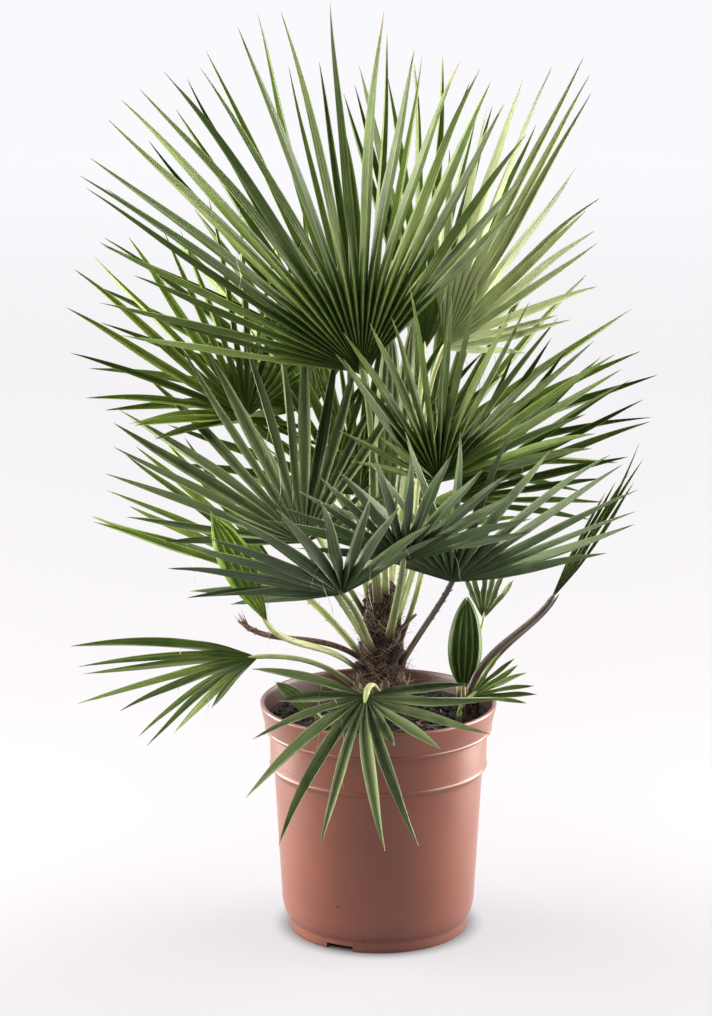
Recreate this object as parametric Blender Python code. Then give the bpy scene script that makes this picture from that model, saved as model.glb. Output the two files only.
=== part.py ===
"""A European fan palm in a nursery pot, in metres, +Z up.

The origin is the middle of the pot's foot, on the floor, and the plant's front is at -Y.
The pot is turned from one profile and filled with soil. A short knobbly trunk stands in
a plain hole in the soil. Each frond is one solid: a leaf stalk with hooked spines,
seated on the trunk, and a fan of V-folded blades that are joined round the stalk's end.
Young leaves that are still folded are pleated leaves, and the suckers stand in the soil.
Stalks and blades that would cross their neighbours are turned aside by a fixed rule.
"""

import math
from collections import namedtuple
from random import Random

import bmesh
import bpy
import numpy as np
from mathutils import Matrix
from mathutils.bvhtree import BVHTree

GAP = 0.0003  # clearance between neighbouring solids

# Pot, turned with this many sides
POT_SIDES = 36
POT_HEIGHT = 0.257
RIM_RADIUS = 0.130
RIM_LIP_RADIUS = 0.1235
RIM_LIP_HEIGHT = 0.226
COLLAR_RADIUS = 0.1195
COLLAR_HEIGHT = 0.185
BODY_TOP_RADIUS = 0.1142
BODY_LOW_RADIUS = 0.1060
BODY_LOW_HEIGHT = 0.030
FOOT_RADIUS = 0.099
FOOT_HEIGHT = 0.012
FOOT_INNER_RADIUS = 0.088
CENTRE_PAD_RADIUS = 0.044
UNDERCUT = 0.005
WALL = 0.0028
RIM_THICK = 0.0060
NOTCH_COUNT = 3
NOTCH_WIDTH = 0.031
NOTCH_HEIGHT = 0.0065
NOTCH_AZIMUTH = -115.6
DRAIN_COUNT = 6
DRAIN_RADIUS = 0.005
DRAIN_CIRCLE = 0.067
DRAIN_SIDES = 8

# Soil, a rough top in the pot
SOIL_HEIGHT = 0.238
SOIL_ROUGHNESS = 0.003
SOIL_RINGS = (0.075, 0.105)
SOIL_SEED = 3

# Trunk, plain in the soil and knobbly above it
TRUNK_X = 0.004
TRUNK_FOOT = 0.190
TRUNK_COLLAR = 0.243
TRUNK_TOP = 0.385
TRUNK_LOW_RADIUS = 0.0315
TRUNK_TOP_RADIUS = 0.0150
TRUNK_SIDES = 14
TRUNK_RINGS = 12
BOOT_DEPTH = 0.0060
BOOT_RISE = 0.0240
BOOT_STARTS = 3
GOLDEN_ANGLE = 137.5
STUB_COUNT = 9
STUB_LENGTH = (0.014, 0.026)
STUB_WIDTH = 0.011
STUB_THICK = 0.0048
STUB_TAPER = 0.72
STUB_SUNK = 0.008
STUB_LOW = 0.250
STUB_SPAN = 0.100

# Leaf stalks: width and thickness where they leave the trunk and at the hub
STALK_FOOT = (0.0130, 0.0056)
STALK_NECK = (0.0074, 0.0044)
STALK_SUNK = 0.010
STALK_RISE = 62
STALK_PAST_HUB = 0.014
STALK_CURVE = (0.42, 0.30)
SPINE_PAIRS = 3
SPINE_SPAN = (0.24, 0.86)
SPINE_LENGTH = 0.0050
SPINE_BASE = 0.0050
SUCKER_STEM = (0.0080, 0.0060)
SUCKER_NECK = (0.0050, 0.0040)
SUCKER_DEPTH = 0.018
SUCKER_COLLAR = 0.006
HOLE_SIDES = 10

# Blades: the stations are shares of the free length
BLADE_STATIONS = (0.34, 0.72)
BLADE_WIDTH_SHARES = (1.0, 0.70)
BLADE_THICK = 0.0017
WEB_THICK = 0.0012
HUB_THICK = 0.0028
FOLD_SHARE = 0.30
WEB_FOLD = 0.0036
FILL_SHARE = 0.88
BEND_POWER = 1.4
REACH_RANGE = (0.90, 1.04)
LEAN = 0.05

# Pleated young leaves
PLEAT_STATIONS = (0.10, 0.28, 0.50, 0.72, 0.90)
PLEAT_THICK = 0.0012
PLEAT_BOW = 0.05

# Room that a stalk or blade keeps from the others, and what is tried to find it
ROOM = 0.0006
EDGE_ROOM = 0.0015
WEB_ROOM = 1.12
STALK_SHIFTS = (0.0, 0.010, -0.010, 0.020, -0.020, 0.032, -0.032, 0.045, -0.045)
STALK_TURNS = (0, 12, -12, 24, -24, 36, -36, 50, -50, 66, -66)
STALK_RISES = (0.0, 0.012, -0.012, 0.024, -0.024, 0.036, -0.036)
STUB_TURNS = (0, 12, -12, 24, -24, 36, -36)
BEND_STEPS = (0.0, 0.05, -0.05, 0.10, -0.10, 0.16, -0.16, 0.23, -0.23, 0.31, -0.31, 0.40, -0.40)
LENGTHS_TO_TRY = (1.0, 0.85, 0.70, 0.55, 0.40, 0.25)

LEAF_DARK = (0.060, 0.130, 0.040)
LEAF_MID = (0.100, 0.200, 0.060)
LEAF_BLUE = (0.090, 0.160, 0.105)
LEAF_PALE = (0.330, 0.450, 0.200)
LEAF_BRIGHT = (0.180, 0.380, 0.060)
LEAF_DRY = (0.150, 0.080, 0.040)

# hub: where the blades meet. face: azimuth and elevation in degrees of the side that
# looks at the viewer. middle and spread: angles of the blades as seen from that side,
# from the viewer's right, anticlockwise. upper is 1 where that side is the upper one.
# side: the outermost blades' share of the reach. cup: degrees that the outermost blades
# lean to the viewer. root: azimuth of the stalk's foot round the trunk, and its height.
Frond = namedtuple("Frond", "name hub face middle spread blades reach side split width"
                            " cup droop upper root colour")
FRONDS = (
    Frond("frond_crown_front", (-0.018, -0.060, 0.633), (-90, -4), 111, 134, 25,
          0.428, 0.53, 0.100, 0.0115, -12, 0.03, -1, (-105, 0.372), LEAF_DARK),
    Frond("frond_over_rim", (-0.014, -0.128, 0.299), (-90, 35), 266, 220, 13,
          0.174, 0.78, 0.034, 0.0160, 10, 0.10, 1, (-95, 0.262), LEAF_MID),
    Frond("frond_low_left", (-0.130, -0.040, 0.317), (-90, 68), 207, 80, 9,
          0.208, 0.90, 0.045, 0.0140, 10, 0.06, 1, (165, 0.268), LEAF_MID),
    Frond("frond_centre_front", (0.025, -0.120, 0.444), (-90, -35), 88, 160, 13,
          0.180, 0.80, 0.045, 0.0160, -10, 0.05, -1, (-70, 0.330), LEAF_BLUE),
    Frond("frond_front_low", (-0.039, -0.100, 0.403), (-90, -46), 122, 172, 13,
          0.212, 0.62, 0.045, 0.0170, -10, 0.05, -1, (-120, 0.318), LEAF_BLUE),
    Frond("frond_mid_left", (-0.079, -0.080, 0.453), (-88, 22), 118, 132, 16,
          0.262, 0.66, 0.065, 0.0125, 10, 0.04, 1, (-150, 0.325), LEAF_BLUE),
    Frond("frond_right", (0.063, -0.050, 0.512), (-78, -10), 72, 134, 18,
          0.240, 0.76, 0.065, 0.0120, -10, 0.04, -1, (-40, 0.345), LEAF_DARK),
    Frond("frond_right_low", (0.078, -0.060, 0.406), (-90, -38), 80, 168, 15,
          0.262, 0.45, 0.055, 0.0135, -10, 0.04, -1, (-30, 0.300), LEAF_BLUE),
    Frond("frond_left", (-0.140, -0.020, 0.577), (-82, 14), 114, 160, 19,
          0.244, 0.62, 0.055, 0.0115, 10, 0.04, 1, (170, 0.350), LEAF_DARK),
    Frond("frond_right_high", (0.070, 0.060, 0.635), (-146, 18), 56, 106, 17,
          0.395, 0.44, 0.100, 0.0120, 10, 0.03, 1, (30, 0.372), LEAF_PALE),
    Frond("frond_right_back", (0.078, 0.030, 0.474), (-104, 14), 33, 80, 11,
          0.245, 0.76, 0.060, 0.0135, 10, 0.03, 1, (5, 0.330), LEAF_DARK),
    Frond("frond_crown_mid", (-0.014, 0.030, 0.610), (-90, 10), 108, 92, 14,
          0.400, 0.82, 0.100, 0.0120, 10, 0.03, 1, (110, 0.376), LEAF_MID),
    Frond("frond_crown_right", (0.050, 0.100, 0.625), (-60, 12), 82, 60, 10,
          0.335, 0.86, 0.090, 0.0130, 8, 0.03, 1, (70, 0.368), LEAF_MID),
    Frond("frond_left_back", (-0.104, 0.040, 0.385), (-110, 12), 151, 50, 8,
          0.240, 0.80, 0.060, 0.0135, 8, 0.03, 1, (150, 0.300), LEAF_MID),
    Frond("frond_back_left", (-0.070, 0.120, 0.560), (-60, 38), 118, 150, 12,
          0.300, 0.75, 0.070, 0.0145, 10, 0.05, 1, (120, 0.350), LEAF_DARK),
    Frond("frond_back_right", (0.060, 0.130, 0.500), (-120, 38), 60, 150, 12,
          0.280, 0.75, 0.070, 0.0145, 10, 0.05, 1, (60, 0.335), LEAF_DARK),
    Frond("frond_back_low", (-0.010, 0.120, 0.400), (-90, 60), 90, 170, 12,
          0.230, 0.75, 0.060, 0.0150, 10, 0.08, 1, (95, 0.300), LEAF_MID),
    Frond("frond_back_centre", (-0.024, 0.070, 0.470), (-90, 20), 98, 150, 14,
          0.250, 0.80, 0.065, 0.0125, 10, 0.04, 1, (100, 0.345), LEAF_MID),
)

# Blades whose tips were measured in the photo: number, length from the hub and swing
MEASURED = {
    "frond_crown_front": {4: (0.337, -0.043), 5: (0.347, -0.089), 6: (0.349, -0.134),
        7: (0.351, -0.076), 8: (0.389, -0.054), 9: (0.397, 0.001), 10: (0.398, 0.032),
        11: (0.392, 0.079), 12: (0.368, 0.144), 13: (0.381, 0.126), 14: (0.382, 0.111),
        15: (0.387, 0.059), 16: (0.381, 0.021), 17: (0.366, 0.060), 18: (0.363, 0.016),
        19: (0.349, -0.071), 20: (0.304, -0.019), 21: (0.262, -0.070), 22: (0.289, 0.042),
        23: (0.222, -0.114), 24: (0.263, -0.058)},
    "frond_over_rim": {0: (0.126, 0.001), 1: (0.093, -0.026), 2: (0.126, 0.004),
        3: (0.160, 0.067), 4: (0.174, 0.137), 5: (0.161, 0.083), 6: (0.155, 0.250),
        7: (0.159, 0.152), 8: (0.060, -0.002), 9: (0.094, 0.250), 10: (0.133, 0.250),
        11: (0.144, 0.250), 12: (0.110, 0.049)},
    "frond_low_left": {0: (0.202, 0.163), 1: (0.192, 0.173), 2: (0.189, -0.038),
        3: (0.204, 0.086), 4: (0.168, 0.102), 5: (0.175, 0.250), 6: (0.181, 0.174),
        7: (0.163, 0.125), 8: (0.115, 0.107)},
    "frond_mid_left": {9: (0.260, 0.003), 10: (0.250, 0.087), 11: (0.244, -0.020),
        12: (0.229, -0.088), 13: (0.224, -0.107), 15: (0.150, -0.036)},
    "frond_right": {2: (0.178, 0.012), 3: (0.235, 0.013), 4: (0.236, -0.057),
        5: (0.228, -0.055), 6: (0.203, -0.105), 7: (0.223, -0.078), 8: (0.227, -0.018),
        9: (0.215, -0.108)},
    "frond_right_low": {0: (0.167, 0.238), 1: (0.204, 0.169), 2: (0.216, 0.100),
        3: (0.237, 0.044), 4: (0.264, 0.080), 5: (0.277, -0.017)},
    "frond_left": {10: (0.237, 0.002), 11: (0.241, 0.004), 12: (0.247, -0.086),
        13: (0.229, -0.044), 14: (0.203, 0.018), 15: (0.175, 0.136), 16: (0.126, 0.250),
        17: (0.123, -0.001), 18: (0.103, 0.037)},
    "frond_right_high": {0: (0.171, 0.031), 1: (0.254, 0.088), 2: (0.207, 0.013),
        3: (0.261, -0.018), 4: (0.260, 0.124), 5: (0.275, -0.073), 6: (0.261, 0.016),
        7: (0.277, -0.103), 8: (0.262, 0.100), 9: (0.334, 0.121), 10: (0.350, 0.019),
        11: (0.362, -0.080), 12: (0.334, -0.020), 13: (0.310, -0.142), 14: (0.274, -0.030)},
    "frond_right_back": {0: (0.162, 0.005), 1: (0.173, -0.001), 2: (0.173, 0.034),
        3: (0.203, -0.012), 4: (0.236, -0.001), 5: (0.241, -0.095), 6: (0.240, -0.062)},
    "frond_crown_mid": {2: (0.356, 0.043), 3: (0.378, 0.033), 4: (0.308, 0.099),
        5: (0.352, 0.006), 6: (0.354, -0.025), 7: (0.417, -0.114), 8: (0.398, -0.059),
        9: (0.379, -0.103), 10: (0.357, -0.162), 11: (0.349, -0.143)},
    "frond_crown_right": {0: (0.290, 0.087), 1: (0.250, 0.079), 2: (0.296, -0.022),
        3: (0.278, -0.111)},
    "frond_left_back": {4: (0.232, 0.113), 5: (0.207, 0.013), 6: (0.237, 0.008),
        7: (0.226, -0.126)},
    "sucker_fan_tall": {0: (0.165, 0.250), 1: (0.204, 0.218), 2: (0.190, 0.069),
        3: (0.172, -0.015), 4: (0.154, -0.128), 5: (0.139, -0.250)},
}

# Small fans on stalks that stand in the soil; root is a place in the soil
SUCKER_FANS = (
    Frond("sucker_fan_pale", (0.116, 0.052, 0.334), (-100, 0), 84, 70, 6,
          0.062, 0.90, 0.040, 0.0100, 0, 0.02, 1, (0.090, 0.054), LEAF_PALE),
    Frond("sucker_fan_tall", (0.186, 0.000, 0.368), (-100, 0), 60, 18, 6,
          0.200, 0.80, 0.110, 0.0110, 0, 0.02, 1, (0.100, 0.010), LEAF_MID),
    Frond("sucker_fan_low", (0.098, -0.030, 0.268), (-80, 40), 22, 70, 7,
          0.080, 0.80, 0.028, 0.0095, 6, 0.06, 1, (0.088, -0.024), LEAF_MID),
)

# Young leaves, still pleated together. base and tip are the ends of the pleated part.
# root is azimuth and height on the trunk, or a place in the soil where stands is "soil".
Young = namedtuple("Young", "name base tip face width pleats fold stands root colour")
YOUNG_LEAVES = (
    Young("spear_front", (0.006, -0.018, 0.450), (0.012, -0.022, 0.690), (-85, 0), 0.030, 4,
          0.006, "trunk", (-80, 0.380), LEAF_PALE),
    Young("spear_back", (0.016, 0.012, 0.460), (0.038, 0.016, 0.690), (-100, 0), 0.020, 3,
          0.006, "trunk", (60, 0.382), LEAF_PALE),
    Young("young_leaf_left", (-0.117, -0.085, 0.364), (-0.180, -0.115, 0.502), (-75, 10),
          0.038, 5, 0.006, "trunk", (-170, 0.290), LEAF_BRIGHT),
    Young("young_leaf_rim", (0.094, 0.030, 0.262), (0.097, 0.030, 0.368), (-90, 10), 0.038,
          5, 0.006, "soil", (0.094, 0.032), LEAF_BRIGHT),
    Young("sucker_leaf_left", (-0.067, -0.052, 0.256), (-0.112, -0.062, 0.296), (-70, 40),
          0.020, 4, 0.005, "soil", (-0.060, -0.050), LEAF_MID),
)

# A leaf stalk that has dried and lost its fan: the place, face and way of its end
DRY_STALK = "dry_stalk"
DRY_TIP = (-0.142, -0.020, 0.345)
DRY_FACE = (-90, 60)
DRY_WAY = (150, 40)
DRY_ROOT = (178, 0.290)
DRY_STUMP = (0.0045, 0.0025, 0.020)

# What seats a stalk: what it stands in, where, the hub it should reach, its end's
# normal, way and side, and head(hub, room), which gives the shape at its end
Sprout = namedtuple("Sprout", "name stands root hub normal way side head colour")

Z_UP = np.array((0.0, 0.0, 1.0))


def unit(vector):
    return vector / np.linalg.norm(vector)


def compass(azimuth, elevation=0.0):
    """Unit vector at an azimuth from +X and an elevation from the horizontal."""
    a, e = math.radians(azimuth), math.radians(elevation)
    return np.array((math.cos(e) * math.cos(a), math.cos(e) * math.sin(a), math.sin(e)))


# Blender objects
def clear_scene():
    for obj in list(bpy.data.objects):
        bpy.data.objects.remove(obj)


def material(name, colour, roughness):
    finish = bpy.data.materials.new(name)
    finish.use_nodes = True
    shader = finish.node_tree.nodes["Principled BSDF"]
    shader.inputs["Base Color"].default_value = (*colour, 1.0)
    shader.inputs["Roughness"].default_value = roughness
    shader.inputs["Metallic"].default_value = 0.0
    return finish


def solid(name, points, faces, finish=None):
    """A mesh object from points and faces, with its faces pointing out."""
    mesh = bpy.data.meshes.new(name)
    mesh.from_pydata([tuple(p) for p in points], [], [tuple(f) for f in faces])
    bm = bmesh.new()
    bm.from_mesh(mesh)
    bmesh.ops.recalc_face_normals(bm, faces=bm.faces)
    bm.to_mesh(mesh)
    bm.free()
    obj = bpy.data.objects.new(name, mesh)
    bpy.context.scene.collection.objects.link(obj)
    if finish:
        obj.data.materials.append(finish)
    return obj


def apply_modifiers(obj):
    """Replaces an object's mesh by what its modifiers make of it."""
    bpy.context.view_layer.update()
    graph = bpy.context.evaluated_depsgraph_get()
    mesh = bpy.data.meshes.new_from_object(obj.evaluated_get(graph))
    obj.modifiers.clear()
    obj.data = mesh


def drop_scraps(obj):
    """Keeps only the largest connected piece of a mesh."""
    bm = bmesh.new()
    bm.from_mesh(obj.data)
    left, pieces = set(bm.verts), []
    while left:
        piece, waiting = [], [left.pop()]
        while waiting:
            vert = waiting.pop()
            piece.append(vert)
            near = [v for v in (e.other_vert(vert) for e in vert.link_edges) if v in left]
            waiting += near
            left.difference_update(near)
        pieces.append(piece)
    pieces.sort(key=len, reverse=True)
    for piece in pieces[1:]:
        bmesh.ops.delete(bm, geom=piece, context="VERTS")
    bm.to_mesh(obj.data)
    bm.free()


def unite(obj, others):
    """Joins the others into the object with one Boolean union on a collection."""
    group = bpy.data.collections.new(obj.name + "_parts")
    bpy.context.scene.collection.children.link(group)
    for other in others:
        bpy.context.scene.collection.objects.unlink(other)
        group.objects.link(other)
    union = obj.modifiers.new("union", "BOOLEAN")
    union.operation = "UNION"
    union.operand_type = "COLLECTION"
    union.collection = group
    apply_modifiers(obj)
    for other in list(group.objects):
        bpy.data.objects.remove(other)
    bpy.data.collections.remove(group)
    drop_scraps(obj)


def cut(obj, cutter):
    """Takes the cutter's shape out of the object."""
    difference = obj.modifiers.new("cut", "BOOLEAN")
    difference.operation = "DIFFERENCE"
    difference.object = cutter
    apply_modifiers(obj)
    drop_scraps(obj)


def turned(name, profile, sides, finish=None, centre=(0.0, 0.0, 0.0)):
    """Turns a profile of (radius, height) points, from axis to axis, round an upright axis."""
    turns = [2 * math.pi * (k + 0.5) / sides for k in range(sides)]
    points, faces, rings = [], [], []
    for radius, height in profile:
        if radius == 0.0:
            rings.append([len(points)] * sides)
            points.append((0.0, 0.0, height))
        else:
            rings.append(list(range(len(points), len(points) + sides)))
            points += [(radius * math.cos(t), radius * math.sin(t), height) for t in turns]
    for low, high in zip(rings, rings[1:]):
        for k in range(sides):
            n = (k + 1) % sides
            faces.append(list(dict.fromkeys((low[k], low[n], high[n], high[k]))))
    obj = solid(name, points, faces, finish)
    obj.data.transform(Matrix.Translation(centre))
    return obj


def rod(name, radius, low, high, sides, centre):
    """A plain upright cylinder for cutting holes."""
    return turned(name, [(0.0, low), (radius, low), (radius, high), (0.0, high)], sides,
                  centre=centre)


# Pot and soil
def pot_outside():
    """Profile of the pot's underside and outside, from the axis to the rim's top."""
    return [(0.0, 0.0), (CENTRE_PAD_RADIUS, 0.0), (CENTRE_PAD_RADIUS + 0.002, UNDERCUT),
            (FOOT_INNER_RADIUS - 0.002, UNDERCUT), (FOOT_INNER_RADIUS, 0.0),
            (FOOT_RADIUS - 0.001, 0.0), (FOOT_RADIUS, 0.0012), (FOOT_RADIUS, FOOT_HEIGHT),
            (BODY_LOW_RADIUS - 0.0025, FOOT_HEIGHT + 0.008),
            (BODY_LOW_RADIUS, BODY_LOW_HEIGHT), (BODY_TOP_RADIUS, COLLAR_HEIGHT - 0.005),
            (COLLAR_RADIUS - 0.0009, COLLAR_HEIGHT), (COLLAR_RADIUS, RIM_LIP_HEIGHT),
            (RIM_LIP_RADIUS, RIM_LIP_HEIGHT + 0.0006), (RIM_RADIUS, POT_HEIGHT - 0.0025),
            (RIM_RADIUS - 0.0012, POT_HEIGHT)]


def pot_rim_inside():
    """The flared inside of the rim, from its top down to the ledge over the collar."""
    return [(RIM_RADIUS - RIM_THICK + 0.001, POT_HEIGHT), (RIM_RADIUS - RIM_THICK, POT_HEIGHT - 0.003),
            (RIM_LIP_RADIUS - WALL, RIM_LIP_HEIGHT + WALL + 0.001)]


def pot_well(room=0.0):
    """Profile of the pot's inside below the rim, down to the axis, less a room all over."""
    floor = UNDERCUT + WALL
    ledge = [(COLLAR_RADIUS - WALL, RIM_LIP_HEIGHT + WALL),
             (COLLAR_RADIUS - 0.0009 - WALL, COLLAR_HEIGHT),
             (BODY_TOP_RADIUS - WALL, COLLAR_HEIGHT - 0.006),
             (BODY_LOW_RADIUS - WALL, BODY_LOW_HEIGHT)]
    bottom = [(FOOT_RADIUS - WALL, floor), (CENTRE_PAD_RADIUS + 0.002, floor),
              (CENTRE_PAD_RADIUS - 0.001, WALL), (0.0, WALL)]
    return ([(radius - room, height) for radius, height in ledge]
            + [(max(0.0, radius - room), height + room) for radius, height in bottom])


def build_pot():
    plastic = material("terracotta_plastic", (0.44, 0.17, 0.09), 0.5)
    pot = turned("pot", pot_outside() + pot_rim_inside() + pot_well(), POT_SIDES, plastic)
    cutters = []
    for k in range(NOTCH_COUNT):
        way = compass(NOTCH_AZIMUTH + 360 * k / NOTCH_COUNT)
        side = np.cross(Z_UP, way) * NOTCH_WIDTH / 2
        near, far = way * (FOOT_INNER_RADIUS - 0.0035), way * (FOOT_RADIUS + 0.010)
        corners = [p + s + Z_UP * h for h in (-0.010, NOTCH_HEIGHT)
                   for p in (near, far) for s in (-side, side)]
        faces = [(0, 1, 3, 2), (4, 5, 7, 6), (0, 1, 5, 4), (2, 3, 7, 6), (0, 2, 6, 4),
                 (1, 3, 7, 5)]
        cutters.append(solid("notch_cutter", corners, faces))
    for k in range(DRAIN_COUNT):
        centre = compass(360 * (k + 0.5) / DRAIN_COUNT) * DRAIN_CIRCLE
        cutters.append(rod("drain_cutter", DRAIN_RADIUS, -0.010, 0.020, DRAIN_SIDES, centre))
    for cutter in cutters:
        cut(pot, cutter)
        bpy.data.objects.remove(cutter)
    pot.data.shade_smooth()
    pot.data.set_sharp_from_angle(angle=math.radians(35))
    return pot


def build_soil():
    """Potting soil: it fills the pot to just under the rim, with a rough top."""
    peat = material("potting_soil", (0.020, 0.013, 0.012), 0.95)
    (high_radius, high), (low_radius, low) = pot_rim_inside()[1:]
    slope = (high_radius - low_radius) / (high - low)
    edge = low_radius + slope * (SOIL_HEIGHT - low) - GAP
    top = [(0.0, SOIL_HEIGHT)] + [(r, SOIL_HEIGHT) for r in (*SOIL_RINGS, edge)]
    ledge = (low_radius - GAP, low)
    soil = turned("soil", top + [ledge] + pot_well(GAP), POT_SIDES, peat)
    draw = Random(SOIL_SEED)
    for vert in soil.data.vertices:
        if vert.co.z > SOIL_HEIGHT - GAP and vert.co.xy.length < edge - 0.005:
            vert.co.z += SOIL_ROUGHNESS * draw.uniform(-1, 1)
    return soil


def cut_soil_holes(soil):
    """Plain holes for the trunk and for each stem that stands in the soil."""
    above = SOIL_HEIGHT + 0.02
    holes = [rod("hole_cutter", TRUNK_LOW_RADIUS + GAP, TRUNK_FOOT - GAP, above, TRUNK_SIDES,
                 (TRUNK_X, 0.0, 0.0))]
    roots = [leaf.root for leaf in YOUNG_LEAVES if leaf.stands == "soil"]
    for root in roots + [fan.root for fan in SUCKER_FANS]:
        holes.append(rod("hole_cutter", SUCKER_STEM[0] / 2 + 2 * GAP,
                         SOIL_HEIGHT - SUCKER_DEPTH - GAP, above, HOLE_SIDES, (*root, 0.0)))
    for hole in holes:
        cut(soil, hole)
        bpy.data.objects.remove(hole)


# Trunk
def trunk_radius(azimuth, height):
    """Knobbly above the soil: the bases of old leaves climb in crossing spirals."""
    share = max(0.0, (height - TRUNK_COLLAR) / (TRUNK_TOP - TRUNK_COLLAR))
    plain = TRUNK_LOW_RADIUS + (TRUNK_TOP_RADIUS - TRUNK_LOW_RADIUS) * share ** 0.9
    left = (height / BOOT_RISE + BOOT_STARTS * azimuth / 360) % 1
    right = (height / BOOT_RISE - (BOOT_STARTS + 2) * azimuth / 360) % 1
    return plain + BOOT_DEPTH * (left * right - 0.25) * min(1.0, 6 * share)


def trunk_core(room=0.0):
    """The trunk without its stubs, grown outwards by the room asked for."""
    heights = [TRUNK_FOOT] + list(np.linspace(TRUNK_COLLAR, TRUNK_TOP, TRUNK_RINGS))
    points = [(TRUNK_X, 0.0, TRUNK_FOOT - room)]
    for height in heights:
        for k in range(TRUNK_SIDES):
            azimuth = 360 * (k + 0.5) / TRUNK_SIDES
            out = compass(azimuth) * (trunk_radius(azimuth, height) + room)
            points.append((TRUNK_X + out[0], out[1], height))
    points.append((TRUNK_X, 0.0, TRUNK_TOP + 0.010 + room))
    faces = []
    last = 1 + (len(heights) - 1) * TRUNK_SIDES
    for k in range(TRUNK_SIDES):
        n = (k + 1) % TRUNK_SIDES
        faces += [(0, 1 + n, 1 + k), (last + k, last + n, len(points) - 1)]
        for ring in range(len(heights) - 1):
            a, b = 1 + ring * TRUNK_SIDES, 1 + (ring + 1) * TRUNK_SIDES
            faces += [(a + k, a + n, b + n), (a + k, b + n, b + k)]
    return points, faces


def trunk_surface(azimuth, height):
    """A point of the trunk's surface."""
    return np.array((TRUNK_X, 0, height)) + compass(azimuth) * trunk_radius(azimuth, height)


def stub_shape(number, turn, sunk=0.0, room=0.0):
    """The stub of an old leaf stalk: flat, tapered and pointing up and out."""
    draw = Random(number)
    azimuth = GOLDEN_ANGLE * number + turn
    height = STUB_LOW + STUB_SPAN * number / STUB_COUNT
    out, side = compass(azimuth, draw.uniform(42, 56)), compass(azimuth + 90)
    over = np.cross(out, side)
    length = draw.uniform(*STUB_LENGTH)
    points = []
    for along, scale in ((-sunk, 1.0), (length + room, STUB_TAPER)):
        half, thick = STUB_WIDTH / 2 * scale + room, STUB_THICK / 2 * scale + room
        middle = trunk_surface(azimuth, height) + out * along
        points += [middle - side * half, middle - over * thick,
                   middle + side * half, middle + over * thick]
    faces = [(0, 1, 2, 3), (4, 5, 6, 7)]
    return points, faces + [(k, (k + 1) % 4, 4 + (k + 1) % 4, 4 + k) for k in range(4)]


def place_stubs(thicket):
    """Number and turn of each stub that finds a clear place between the stalks."""
    placed = []
    for number in range(STUB_COUNT):
        for turn in STUB_TURNS:
            if not thicket.touches(*stub_shape(number, turn, room=2 * ROOM), ("trunk",)):
                thicket.add(*stub_shape(number, turn), "trunk")
                placed.append((number, turn))
                break
    return placed


def build_trunk(name, stubs, finish=None, room=0.0):
    trunk = solid(name, *trunk_core(room), finish)
    unite(trunk, [solid("stub", *stub_shape(*stub, STUB_SUNK, room)) for stub in stubs])
    return trunk


# What stands already
def tree_of(points, faces):
    return BVHTree.FromPolygons([tuple(p) for p in points], faces)


class Thicket:
    """The shapes that stand already, for finding what a new one would touch."""

    def __init__(self):
        self.shapes = []

    def add(self, points, faces, group):
        points = np.asarray(points)
        self.shapes.append((tree_of(points, faces), points.min(axis=0), points.max(axis=0),
                            group))

    def touches(self, points, faces, passing):
        """Whether a shape crosses one that stands, apart from the groups it may pass."""
        points = np.asarray(points)
        low, high = points.min(axis=0), points.max(axis=0)
        near = [tree for tree, its_low, its_high, group in self.shapes if group not in passing
                and (its_low <= high).all() and (its_high >= low).all()]
        if not near:
            return False
        own = tree_of(points, faces)
        return any(own.overlap(tree) for tree in near)


# Fans
def fan_axes(frond):
    """The fan's normal towards its viewer, its right and its up."""
    normal = compass(*frond.face)
    right = unit(np.cross(-normal, Z_UP))
    return normal, right, np.cross(normal, right)


def blade_way(frond, angle):
    """Direction of a blade: its angle in the fan, lifted by the fan's cupping."""
    normal, right, up = fan_axes(frond)
    share = (angle - frond.middle) / (frond.spread / 2)
    cup = math.radians(frond.cup) * share ** 2
    turn = math.radians(angle)
    flat = math.cos(turn) * right + math.sin(turn) * up
    return math.cos(cup) * flat + math.sin(cup) * normal


def blade_angle(frond, place):
    """Angle of a place in the fan, counted in blades from its first edge."""
    return frond.middle + frond.spread * (place / frond.blades - 0.5)


def blade_reach(frond, number, draw):
    """Length of a blade from the hub: less to both sides, and a little uneven."""
    share = (2 * number + 1) / frond.blades - 1
    return frond.reach * (1 - (1 - frond.side) * share ** 2) * draw.uniform(*REACH_RANGE)


def fan_web(frond, hub, room=0.0):
    """The pleated middle of the fan, where the blades are joined.

    Its points are the hub's two, then two for each edge, then two for each keel.
    """
    over = fan_axes(frond)[0] * frond.upper
    radius = frond.split * (WEB_ROOM if room else 1.0)

    def pair(middle, thick):
        return [middle + over * (thick / 2 + room), middle - over * (thick / 2 + room)]

    points = pair(hub, HUB_THICK)
    for edge in range(frond.blades + 1):
        way = blade_way(frond, blade_angle(frond, edge))
        points += pair(hub + way * radius + over * WEB_FOLD / 2, WEB_THICK)
    first_keel = len(points)
    for blade in range(frond.blades):
        way = blade_way(frond, blade_angle(frond, blade + 0.5))
        points += pair(hub + way * radius - over * WEB_FOLD / 2, BLADE_THICK)
    faces = [(0, 1, 3, 2), (0, 1, first_keel - 1, first_keel - 2)]
    for blade in range(frond.blades):
        edge, keel = 2 + 2 * blade, first_keel + 2 * blade
        for side in (0, 1):
            faces += [(side, edge + side, keel + side), (side, keel + side, edge + 2 + side)]
    return points, faces, first_keel


def blade_root(first_keel, number):
    """Numbers of the six web points that a blade grows from: edge, keel and next edge."""
    edge, keel = 2 + 2 * number, first_keel + 2 * number
    return edge, edge + 1, keel, keel + 1, edge + 2, edge + 3


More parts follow.
